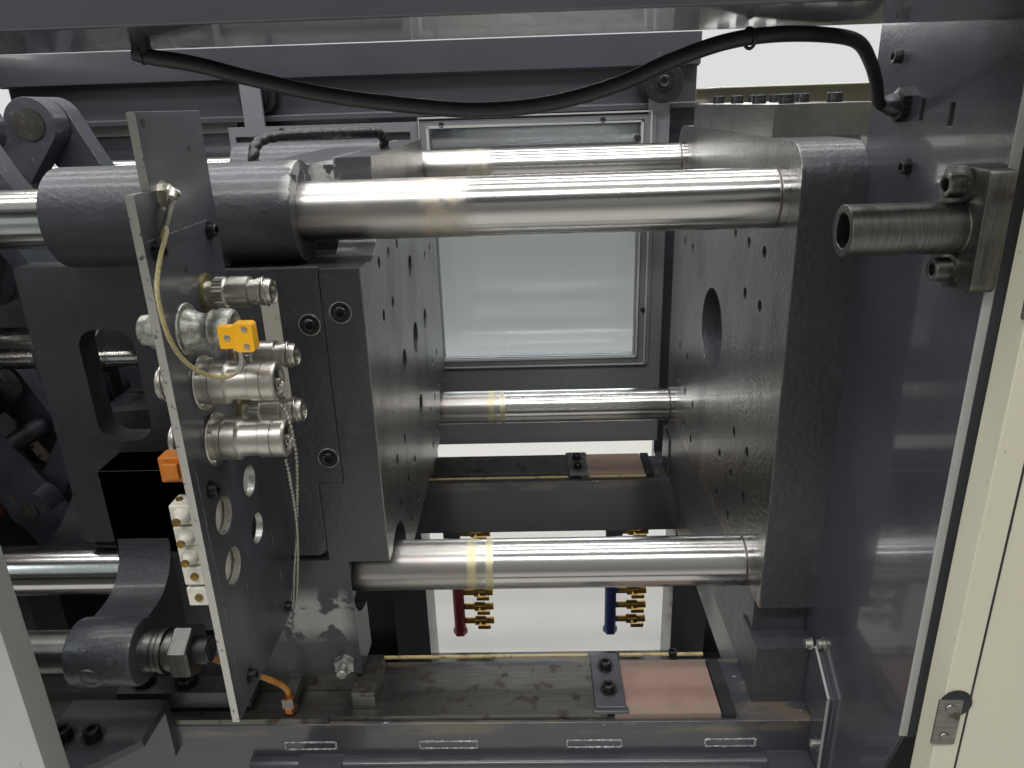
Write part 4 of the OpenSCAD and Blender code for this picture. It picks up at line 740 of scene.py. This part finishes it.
class MOULDING_OT_solids(bpy.types.Operator):
    """Gives every solid its finish, and rounds the edges of castings, plates and sheets"""
    bl_idname = "moulding.solids"
    bl_label = "Castings and sheets"

    def execute(self, context):
        sizes = context.scene.moulding_sizes
        cast, thin = sizes.edge_round / MM, sizes.sheet_round / MM
        plain = {
            "black_enamel": "leveling_feet ejector_drive platen_motors", "chrome": "tie_bars",
            "turned": "tie_bar_nuts", "brass": "water_manifold", "chain": "adjust_chain",
            "pin": "rear_pins front_pins upper_pins lower_pins clamp_screw plasticising_screw",
            "sprocket": "adjust_nut_1 adjust_nut_2 adjust_nut_3 adjust_nut_4", "ground": "ejector_plate",
            "window": "front_window rear_window", "nylon": "rear_roller_1 rear_roller_2",
            "red": "stop_button", "slideway": "slide_rails",
        }
        for finish, nodes in plain.items():
            for node in nodes.split():
                mesh = frame["nodes"][node].data
                mesh.materials.clear()
                mesh.materials.append(FINISHES[finish])
        for node, finish, width, slot in (
                ("moving_platen", "moving_casting", cast, "casting_paint"),
                ("fixed_platen", "fixed_casting", 2.0, "casting_paint"),
                ("rear_platen", "casting", cast, "casting_paint"),
                ("platen_shoes", "milled", 1.5, "shoe_bronze"),
                ("bed_frame", "bed", 2.5, "frame_paint"),
                ("robot_mount_plate", "ground", 1.2, "ground_steel"),
                ("bulkhead_plate", "sheet", thin, "bulkhead_paint"),
                ("guide_tube", "turned", thin, "dark_steel"),
                ("front_top_beam", "sheet", 2.0, "frame_paint"),
                ("rear_top_rail", "bed", 1.5, "frame_paint"),
                ("injection_covers", "cream", 1.2, "cover_paint"),
                ("clamp_end_cover", "cream", 3.0, "cover_paint"),
                ("control_panel", "cream", 2.0, "cover_paint"),
                *((f"{level}_{kind}_link", "link", width, "link_paint") for level in ("upper", "lower")
                  for kind, width in (("rear", 2.5), ("front", 2.5), ("drive", 2.0))),
                ("crosshead", "link", 2.5, "link_paint"),
                ("platen_side_plate", "moving_casting", 1.2, "casting_paint"),
                ("connector_bracket", "bracket", thin, "bulkhead_paint"),
                ("front_door", "door", 1.2, "door_paint"),
                ("rear_door", "guard", 1.2, "door_paint"),
                ("injection_carriage", "unit", 2.0, "carriage_paint")):
            rounded(node, finish, width)
        return {"FINISHED"}


# ---------------------------------------------------------------- the moving platen's fittings

# Each coupling's kind with y and z, the radius of its rear end, and its rings in front of the bracket
COUPLINGS = (("waisted", -528, 172), ("flanged", -515, 114), ("flanged", -512, 52),
             ("latched", -470, 193), ("latched", -425, 112), ("latched", -428, 48))
REAR_RADIUS = {"waisted": 19, "flanged": 21, "latched": 14}
FRONT_ROWS = {
    "waisted": [(0, 24.5), (1.5, 25), (2.6, 24.4), (3, 19.4), (8, 18), (13, 15.6), (18, 14.6), (22, 15),
                (25, 16.6), (26, 18), (27.6, 18), (28.2, 16.8), (30, 17.2), (33, 18.8), (42, 18.8),
                (45.5, 17.6), (47, 15), (42, 14)],
    "flanged": [(0, 27), (2, 27.6), (3, 27), (3, 21.5), (12, 21.5), (12.8, 20), (14, 20), (14.8, 21.8),
                (27, 21.8), (29, 19), (31, 18), (49, 18), (50, 19.6), (61, 19.6), (61.6, 18.4), (62.8, 18.4),
                (63.4, 19.6), (73, 19.6), (75, 18), (75, 13.5), (71, 13)],
    "latched": [(0, 18.4), (2.4, 18.4), (2.6, 12), (9, 12), (9.5, 14.6), (10, 15.2, 24), (20, 15.2, 24),
                (20.5, 14.6), (22, 13.4), (24.5, 13.4), (25, 15.6), (44, 15.6), (45.5, 12.6), (52, 12.6),
                (53, 14), (57, 14), (58, 12.2), (64, 12.2), (66, 11), (66, 7.5), (61, 7)],
}


class MOULDING_OT_couplings(bpy.types.Operator):
    """Turns the six quick couplings, with their flange screws, chain eyes and wire latches"""
    bl_idname = "moulding.couplings"
    bl_label = "Couplings"

    def execute(self, context):
        parts = []
        for kind, y, z in COUPLINGS:
            r, at = REAR_RADIUS[kind], (FACE, y, z)
            back = [(-42, r - 7), (-40, r - 4.5), (-31, r - 4), (-30, r - 1), (-12, r - 1), (-11, r - 2.6),
                    (-9.5, r - 2.6), (-8.2, r - 1), (-8.1, r - 5.1), (-0.1, r - 5.1)]
            parts += marked(int(kind == "waisted"), turned(back + FRONT_ROWS[kind], at, sides=48))
            if kind == "flanged":
                for a in (0.8, 2.35, 3.95, 5.5):
                    parts += screw((FACE + 2.6, y + 24.3 * math.cos(a), z + 24.3 * math.sin(a)), RIGHT, 3.2)
                # A near-black disc in the coupling's mouth: painted shade standing for its bore
                parts += marked(3, turned([(70.6, 13), (71.5, 13)], at))
                parts += [turned([(70, 3.4), (77, 3), (78, 0)], at, sides=16),
                          ring((FACE + 76, y, z - 5), FAR, 4, 0.9),
                          ring((FACE - 36, y, z), (1, 0.1, 0.1), r - 2.6, 1.2)]
            if kind == "latched":
                parts += marked(2, turned([(-0.4, 19.6), (1.8, 19.6), (2.5, 18)], at))
                parts += [ring((FACE + 59, y, z), (1, 0.15, 0.1), 14.4, 1.1),
                          ring((FACE + 63.5, y, z), (1, -0.14, 0.2), 12.4, 0.9)]
                # A near-black disc in the coupling's mouth: painted shade standing for its bore
                parts += marked(3, turned([(60, 7.4), (61.6, 7.2)], at))
        build("quick_couplings", parts, "nickel zinc passivated recess", "moving_platen",
              ["bracket_connectors"])
        return {"FINISHED"}


class MOULDING_OT_plug(bpy.types.Operator):
    """Makes the sensor plug, the ceramic terminals, the strip plate and the lead's two crimps"""
    bl_idname = "moulding.plug"
    bl_label = "Plug and terminals"

    def execute(self, context):
        body = "moving_platen"
        plug = [slab(round_rect(-578, -560, 160.5, 181.5, 1.5), "y", -556.4, -547),
                slab(round_rect(-564, -545.5, 157.5, 184.5, 3.5), "y", -558.5, -545.6)]
        build("sensor_plug", plug, "plug", body, ["bracket_connectors"], 0.7)
        heads = [turned([(0, 3), (0.9, 2.7), (1.1, 1), (0.5, 0.6)], at, NEAR, 16)
                 for at in ((-552.5, -558.5, 179), (-552.5, -558.5, 163), (-570, -556.4, 171))]
        # The lead's crimp at the plug, and its crimp and eye on the bracket's upper screw
        crimps = [tube([(-567, -552.5, 137), (-564, -551.5, 142), (-562, -551, 149), (-562, -551, 159)],
                       3, 12, FAR),
                  tube([(-612, -524, 296), (-612, -527, 287), (-613.5, -541, 270), (-615, -549.5, 259)],
                       3, 12, RIGHT),
                  tube([(-611, -516, 294), (-611, -523, 297), (-611, -528, 292)], 4.4, 12, RIGHT)]
        build("plug_screws", heads + crimps + screw((FACE, -523, 294), RIGHT, 11, 0.8, corners=6), "nickel",
              body)
        levels = (-100, -75, -51, -29, -5)
        blocks = [brick(-652, -628, -565, -541, z - 10.6, z + 10.6) for z in levels]
        noses = [turned([(0, 9), (3, 8.6), (9, 4), (12, 3), (12.5, 0)], (-640, -565, z), NEAR, 18)
                 for z in levels[2:]]
        build("ceramic_terminals", [*blocks, *noses, brick(-633.5, -630, -548, -497, -113, -6)], "terminal",
              body, bevel=1.2)
        build("strip_plate", [brick(-609, -589, -358.4, -355.1, 12, 178)], "terminal", body,
              bevel=0.4)
        brass = [turned([(0, 4), (2.2, 4), (2.8, 3)], (-640, -565 - 12.6 * (z > -60), z), NEAR, 14)
                 for z in levels]
        brass += [turned([(0, 3.4), (2, 3.2)], (-646, -553, z + 10.6), UP, 12) for z in levels]
        build("terminal_screws", brass, "brass", body)
        build("orange_terminal", [brick(-655, -630, -561, -541, 29, 55), brick(-650, -635, -566, -560, 34, 50)],
              "orange", body, bevel=1.0)
        heads = [turned([(0, 2.6), (1, 2.2)], (-599, -358.4, z), NEAR, 14) for z in (172, 18)]
        build("strip_screws", heads, "screw", body)
        return {"FINISHED"}


class MOULDING_OT_platen_screws(bpy.types.Operator):
    """Sets the moving platen's sunk screws over painted counterbore shade, its bracket's screws, scratches and
    painted hole shade, the foot's nut and its fitting
    """
    bl_idname = "moulding.platen_screws"
    bl_label = "Platen screws"

    def execute(self, context):
        parts = []
        for x, z in ((-518, 139), (-556, 125), (-554, -48)):
            parts += screw((x, SIDE + 5, z), NEAR, 9.5)
            # A near-black disc under each screw is painted shade standing for its counterbore; the zinc ring is the
            # counterbore's lip
            parts += marked(1, turned([(0, 12.4), (0.35, 12.2)], (x, SIDE, z), NEAR))
            parts += marked(2, ring((x, SIDE - 0.2, z), FAR, 12.6, 0.7))
        spots = ((-441, 250), (-557, 250), (-541, 10), (-399, -237), (-533, -228))
        parts += screws([(FACE, y, z) for y, z in spots], RIGHT, 8, 1.2)
        # Near-black discs on the bracket's face: painted shade standing for its open holes
        for y, z, r in ((-536, 355, 4), (-507, 224, 3), (-455, 330, 2.2), (-533, 150, 2.5)):
            parts += marked(1, turned([(0, r), (0.25, r)], (FACE, y, z), sides=16))
        parts += screws([(x, -369, -385) for x in (-850, -790)], UP, 14, 1.5, corners=6)
        parts += marked(2, turned([(0, 13, 6), (10, 13, 6), (11, 11.5), (11, 7.2), (25, 7), (26, 6)],
                                  (-567, SIDE, -365), NEAR))
        build("platen_screws", parts, "screw recess zinc", "moving_platen", ["platen_bolts"])
        marks = [brick(FACE - 0.3, FACE + 0.25, -572, -442, 260.4, 261.3)]
        for y, z0, z1 in ((-563.6, -60, 47), (-561.6, -205, -62), (-500, -150, -122), (-504, -204, -176),
                          (-410, -150, -118), (-402, -205, -180)):
            marks.append(brick(FACE - 0.3, FACE + 0.2, y, y + 1, z0, z1))
        build("bracket_scratches", marks, "scratch", "moving_platen")
        rows = [(0, 9, 6), (9, 9, 6), (10, 7), (15, 6.4), (16, 7.6, 6), (24, 7.6, 6), (25, 5)]
        build("grease_fitting", [turned(rows, (-640, -391, -414), UP, 30)], "copper", "moving_platen")
        return {"FINISHED"}


class MOULDING_OT_safety(bpy.types.Operator):
    """Casts the safety rod's arm with its hub, and turns the rod with its rings, hexagon and cap"""
    bl_idname = "moulding.safety"
    bl_label = "Safety rod"

    def execute(self, context):
        y, z, x0, x1 = -470.0, -245.0, -851.0, -770.0
        neck, top = SIDE - 1, z + 26
        # The arm's upper side runs into the platen in a quarter circle of 60 mm
        sweep = np.radians(np.linspace(270, 360, 9))
        side = [(neck - 60 + 60 * math.cos(a), top + 60 + 60 * math.sin(a)) for a in sweep]
        side += [(neck, z - 42), (y + 20, z - 30), (y - 8, z - 30), (y - 8, top)]
        parts = [turned([(0, 36), (1.2, 38.8), (4, 40), (77, 40), (79.8, 38.8), (81, 36)], (x0, y, z), RIGHT, 56),
                 slab(side, "x", x0 + 4, x1 - 8),
                 slab([(neck, z - 41), (neck, z - 62), (y + 30, z - 31), (y + 30, z - 29)], "x", x0 + 30, x0 + 44),
                 brick(x0, x1 + 30, neck, -273, z - 62, top + 62), brick(x0, x1 + 60, neck, -299, -180, -60)]
        build("safety_rod_arm", parts, "casting", "moving_platen", ["safety_arm"], 3.0)
        plugs = [turned([(-3, 15), (0.6, 15), (1.0, 14.4), (1.0, 9.6), (0, 9.2), (0, 5), (-2, 4.6, 6)],
                        (x0 + 30, y - 38.6, z - 8), (0, -1, -0.2)),
                 turned([(-3, 6), (1.2, 6), (1.6, 5)], (x0 + 58, y - 37.5, z + 14), (0, -1, 0.4), 24)]
        build("arm_plugs", plugs, "casting", "moving_platen")
        rows = [(-1778, 23.5), (-1776.5, 25), (-750, 25), (-749, 24), (-748, 24), (-747.6, 27), (-742.4, 27),
                (-742, 23), (-739, 23), (-738.6, 24.6), (-731, 24.6), (-730.6, 26, 6), (-729, 28, 6),
                (-709, 28, 6), (-707, 26, 6), (-706.8, 16), (-692, 16), (-690, 14)]
        bands = [turned([(-757, 25.3), (-754, 25.3)], (0, y, z), RIGHT, 60),
                 turned([(-707, 16.4), (-691.5, 16.4)], (0, y, z), RIGHT, 40)]
        build("safety_rod_turned", [turned(rows, (0, y, z), RIGHT, 60), *marked(1, *bands)], "turned rubber",
              "moving_platen", ["safety_rod"])
        return {"FINISHED"}


# ---------------------------------------------------------------- the machine's fittings

class MOULDING_OT_machine_screws(bpy.types.Operator):
    """Sets the screws of the bulkhead, guide tube, rail clamps and top plate, and paints a highlight strip on the
    bulkhead's edge
    """
    bl_idname = "moulding.machine_screws"
    bl_label = "Machine screws"

    def execute(self, context):
        parts = screws([(BULKHEAD, -388, 392), (BULKHEAD, -437, 291)], LEFT, 7.5, 1.0)
        foot = [(66, -375, -326), (BULKHEAD, -400, -306), (66, -432, -440)]
        parts += marked(1, *screws(foot, LEFT, 7.5, 1.2))
        for z in (221, 289):
            parts += marked(2, turned([(-0.2, 15), (2.2, 15), (2.6, 14)], (52, -575, z), LEFT),
                            *screw((49.4, -575, z), LEFT, 12.5))
        gland = [(0, 14, 6), (8, 14, 6), (9, 11), (16, 10), (19, 7.4), (22, 6)]
        parts.append(turned(gland, (BULKHEAD, -412, 348), LEFT))
        build("machine_screws", parts, "screw zinc turned", replaces=["machine_bolts"])
        clamps, heads = [], []
        for s in (-1, 1):
            y0, y1 = sorted((s * 291, s * 397))
            clamps += [brick(-221, -179, y0, y1, WAY_TOP, -409),
                       brick(-224, -176, s * 397 - 5, s * 397 + 5, WAY_TOP, -412)]
            heads += screws([(-200, s * 319, -408.6), (-200, s * 365, -408.6)], UP, 10.5, 1.4)
        build("rail_clamp_plates", clamps, "bed", replaces=["rail_clamps"], bevel=1.2)
        heads += screw((-97, -286, WAY_TOP), UP, 8, 1.0)
        build("rail_clamp_screws", heads, "screw")
        # Eight cap screws on the ground plate of the fixed platen's top
        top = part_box("robot_mount_plate")[1][2] / MM
        caps = screws([(x, y, top) for y in (-180, -60, 60, 180) for x in (32, 92)], UP, 12, 1.6)
        build("top_plate_screws", caps, "screw")
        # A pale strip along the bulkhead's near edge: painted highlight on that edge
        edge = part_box("bulkhead_plate")
        near, high = edge[0][1] / MM, edge[1][2] / MM
        build("bulkhead_edge_highlight", [brick(71.4, 79, near - 0.5, near + 1.6, -258, high)], "door", bevel=0.3)
        return {"FINISHED"}


class MOULDING_OT_bed_trim(bpy.types.Operator):
    """Lays the weld stitches, ledge, cut-corner plate and seals along the bed, and the folded corner plate"""
    bl_idname = "moulding.bed_trim"
    bl_label = "Bed trim"

    def execute(self, context):
        front = BED_FRONT
        # A weld's bead follows a long rectangle and rises and falls along it, 3 mm from ripple to ripple
        beads = []
        for x0, x1 in ((-650, -579), (-463, -383), (-260, -185), (-72, -4)):
            loop = round_rect(x0, x1, -470, -458, 2.5, 4)
            flat = np.array(loop + loop[:1])
            t = np.arange(len(loop) * 8 + 1) / 8
            x, z = (np.interp(t, np.arange(len(flat)), flat[:, k]) for k in (0, 1))
            path = np.column_stack([x, np.full(len(t), front - 0.4), z])
            beads.append(tube(path, 1.5, 7, (0, 1, 0.01), lambda length, turn: 1 + 0.25 * np.sin(length * 2.1)))
        build("weld_stitches", beads, "weld", sharp=80)
        lip = [(front - 5, -553), (front + 1, -553), (front + 1, -543), (front - 5, -543)]
        plate = [(-930, front), (-930, front - 112), (-850, front - 112), (-800, front - 70), (-800, front)]
        parts = [slab(round_rect(front - 16, front + 8, -508, -482, 8), "x", -700, 76), slab(lip, "x", -1480, 76),
                 slab(plate, "z", -392, -380), brick(-930, -800, front - 12, front, -470, -392),
                 brick(-1480, 72, front - 1.2, front + 5, -428, -425.9)]
        build("bed_ledge", parts, "bed", bevel=1.5)
        heads = screws([(-906, front - 62, -380), (-868, front - 62, -380)], UP, 13, 1.6)
        build("bed_plate_screws", heads, "screw")
        seals = [brick(x0, x1, y0, y1, WAY_TOP - 0.5, WAY_TOP + 3)
                 for y0, y1 in ((-289, -284), (284, 289)) for x0, x1 in ((-583, -224), (-176, -52))]
        build("way_seals", seals, "seal", bevel=0.6)
        # Folded corner plate before the bulkhead's foot, pale grey strips along its edge
        outline = [(-376, -335), (-396, -315), (-450, -350), (-450, -470)]
        lips = [slab([a, b, (b[0] + 1.6, b[1] + 1.6), (a[0] + 1.6, a[1] + 1.6)], "x", 63.5, 66.4)
                for a, b in zip(outline, outline[1:])]
        build("corner_plate_edge", lips, "door")
        return {"FINISHED"}


class MOULDING_OT_rear_guard(bpy.types.Operator):
    """Closes the rear guard with its fixed sheet and rail covers, and dresses the rear door and its window"""
    bl_idname = "moulding.rear_guard"
    bl_label = "Rear guard"

    def execute(self, context):
        sheets = [brick(-1398, -940, 586, 589, -500, 345), brick(-1458, 76, 584, 590, 250, 345),
                  brick(-1458, 76, 560, 586, 425, 452), brick(-1458, 76, 548, 552, 428, 492),
                  brick(-1458, 76, 552, 596, 488, 492)]
        build("rear_guard_sheets", sheets, "sheet", bevel=1.0)
        build("rear_guard_band", [brick(-1398, -952, 583, 586, 318, 352)], "door", bevel=1.0)
        x0, x1, z0, z1 = -508, -54, -209, 313
        trim = []
        for gap, y, wide in ((2, 511, 5), (22, 512, 3)):
            out = gap + wide
            a, b, c, d = x0 - out, x1 + out, z0 - out, z1 + out
            trim += [brick(*x, y - 3, y + 2, *z) for x, z in (
                ((a, b), (c, c + wide)), ((a, b), (d - wide, d)), ((a, a + wide), (c, d)), ((b - wide, b), (c, d)))]
        build("rear_window_trim", trim, "door", "rear_door", bevel=0.8)
        spots = ((-833, 320), (-482, 321), (-134, 321), (-58, 283), (-525, 200), (-525, 20), (-525, -150),
                 (-36, 100), (-36, -100))
        heads = screws([(x, 512 if x > -540 else 520, z) for x, z in spots], NEAR, 5.5, 0.8)
        # The guide roller's face and its bolt, in front of the hanger
        rows = [(0, 40), (1.5, 41.5), (8, 41.5), (9.5, 40), (9.5, 22), (7, 21)]
        build("roller_face", [turned(rows, (-13, 488, 393.8), NEAR, 48)], "nylon", "rear_door")
        heads += screw((-13, 481, 393.8), NEAR, 15, 2.0)
        build("rear_door_screws", heads, "screw", "rear_door")
        ties = [turned([(0, 7), (6, 7), (7, 6)], (-579, -598, 411), DOWN, 20),
                ring((-579, -598, 404), (1, 0.1, 0), 7.0, 1.3), ring((-130, -587, 400.5), (1, 0.4, 0.1), 7.0, 1.3)]
        build("cable_ties", ties, "nylon")
        return {"FINISHED"}


class MOULDING_OT_panel_face(bpy.types.Operator):
    """Fits the operator's panel with its screen, bezel, keys and the stop button's collar"""
    bl_idname = "moulding.panel_face"
    bl_label = "Panel face"

    def execute(self, context):
        tilt = math.radians(12.5)
        # The screen's own directions: to its side, back into the panel, and up along its face
        turn = np.array([(1, 0, 0), (0, math.cos(tilt), -math.sin(tilt)), (0, math.sin(tilt), math.cos(tilt))])

        def placed(part):
            return part[0] @ turn + (370, -762, 110.0), part[1]

        screen = placed(brick(6, 294, 6.5, 9.8, 6, 194))
        build("panel_screen", [screen], "screen", bevel=0.6)
        bezel = [placed(slab(round_rect(*sides, 1.5, 3), "y", 3.5, 9.6)) for sides in
                 ((0.4, 299.6, 0.4, 6), (0.4, 299.6, 194, 199.6), (0.4, 6, 6, 194), (294, 299.6, 6, 194))]
        build("panel_bezel", bezel, "nylon", bevel=0.6)
        keys = [brick(361 + 36 * i, 385 + 36 * i, -765.5, -762.8, 25.2 + 34 * k, 46.8 + 34 * k)
                for i in range(7) for k in (0, 1)]
        build("panel_keys", keys, "key", bevel=1.4)
        rows = [(0, 0), (0, 27), (3, 27), (5, 24), (5, 13), (0, 13)]
        build("stop_collar", [turned(rows, (660, -760, 55), NEAR, 40, shut=False)], "plug")
        return {"FINISHED"}


class MOULDING_OT_unit_details(bpy.types.Operator):
    """Wraps the heater bands round the barrel and sets their clamps, screws and terminals"""
    bl_idname = "moulding.unit_details"
    bl_label = "Injection unit"

    def execute(self, context):
        body = BODY_OF["injection_carriage"]
        rows = [(0, 44.9), (0, 50), (1.5, 51.5), (4, 50.2), (74, 50.2), (76.5, 51.5), (78, 50), (78, 44.9)]
        bands, clamps = [], []
        for x in (300, 400, 500, 600, 700, 800):
            bands.append(turned(rows, (x, 0, 0), RIGHT, 56, shut=False))
            for k in (x + 14, x + 60):
                clamps += [brick(k - 6, k + 6, -12, 12, 49, 60), *screw((k, -12, 55), NEAR, 6),
                           *screw((k, 12, 55), FAR, 6)]
            clamps.append(turned([(0, 12), (14, 12), (18, 8), (30, 7)], (x + 39, 0, -49), DOWN, 24))
        build("heater_bands", bands, "band", body)
        build("heater_clamps", clamps, "zinc", body, bevel=0.6)
        return {"FINISHED"}


class MOULDING_OT_cover_details(bpy.types.Operator):
    """Adds the front covers' seams, louvres, lock, hinge plates and handles"""
    bl_idname = "moulding.cover_details"
    bl_label = "Cover details"

    def execute(self, context):
        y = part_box("injection_covers")[0][1] / MM
        seams = [brick(x - 1, x + 1, y - 0.4, y + 1, -920, 376) for x in (104, 760, 1420, 2080)]
        seams += [brick(84, 2116, y - 0.4, y + 1, z - 1, z + 1) for z in (-300, 340)]
        seams.append(turned([(0, 15), (1.2, 15), (1.8, 13.5)], (91, y, -175), NEAR, 32))
        # The louvres are near-black strips: painted shade in their openings
        seams += [brick(x - 70, x + 70, y - 0.5, y + 1, -760 + 22 * k, -752 + 22 * k)
                  for x in (1090, 1750) for k in range(9)]
        build("cover_seams", seams, "recess", bevel=0.2)
        plates = []
        for z in (222, -196):
            plates.append(slab(round_rect(75, 97, z - 27, z + 27, 2), "y", y - 2.4, y - 0.2))
            plates += [turned([(0, 5), (1.6, 4), (1.8, 0)], (86, y - 2.4, z + k), NEAR, 18) for k in (-17, 17)]
        build("cover_hinge_plates", plates, "milled", bevel=0.5)
        bends = ((1, 120), (20, 122), (34, 110), (36, 60), (36, 0), (34, -50), (20, -62), (1, -60))
        grips = [tube(smooth([(x, y - out, z) for out, z in bends], 6), 7, 16, RIGHT) for x in (700, 1360)]
        build("cover_grips", grips, "nylon")
        return {"FINISHED"}


GROUPS = (
    MOULDING_OT_camera, MOULDING_OT_cords, MOULDING_OT_solids, MOULDING_OT_couplings, MOULDING_OT_plug,
    MOULDING_OT_platen_screws, MOULDING_OT_safety, MOULDING_OT_machine_screws, MOULDING_OT_bed_trim,
    MOULDING_OT_rear_guard, MOULDING_OT_panel_face, MOULDING_OT_unit_details, MOULDING_OT_cover_details,
    MOULDING_OT_stage,
)


class MOULDING_PT_panel(bpy.types.Panel):
    """Lists the machine's pieces and the sizes and colours they use"""
    bl_idname = "MOULDING_PT_panel"
    bl_label = "Injection Moulding Machine"
    bl_space_type = "VIEW_3D"
    bl_region_type = "UI"
    bl_category = "Moulding"

    def draw(self, context):
        for settings in (context.scene.moulding_colours, context.scene.moulding_sizes):
            for key in settings.__annotations__:
                self.layout.prop(settings, key)
        for group in GROUPS:
            self.layout.operator(group.bl_idname)


CLASSES = (MouldingColours, MouldingSizes, *GROUPS, MOULDING_PT_panel)


def register():
    for item in CLASSES:
        bpy.utils.register_class(item)
    bpy.types.Scene.moulding_colours = PointerProperty(type=MouldingColours)
    bpy.types.Scene.moulding_sizes = PointerProperty(type=MouldingSizes)


def unregister():
    del bpy.types.Scene.moulding_sizes
    del bpy.types.Scene.moulding_colours
    for item in reversed(CLASSES):
        bpy.utils.unregister_class(item)


def main():
    register()
    colours = bpy.context.scene.moulding_colours
    paint_finishes(colours)
    metal_finishes()
    plastic_finishes(colours)
    for group in GROUPS:
        getattr(bpy.ops.moulding, group.bl_idname.split(".")[1])()
    bpy.context.view_layer.update()


if __name__ == "__main__":
    main()
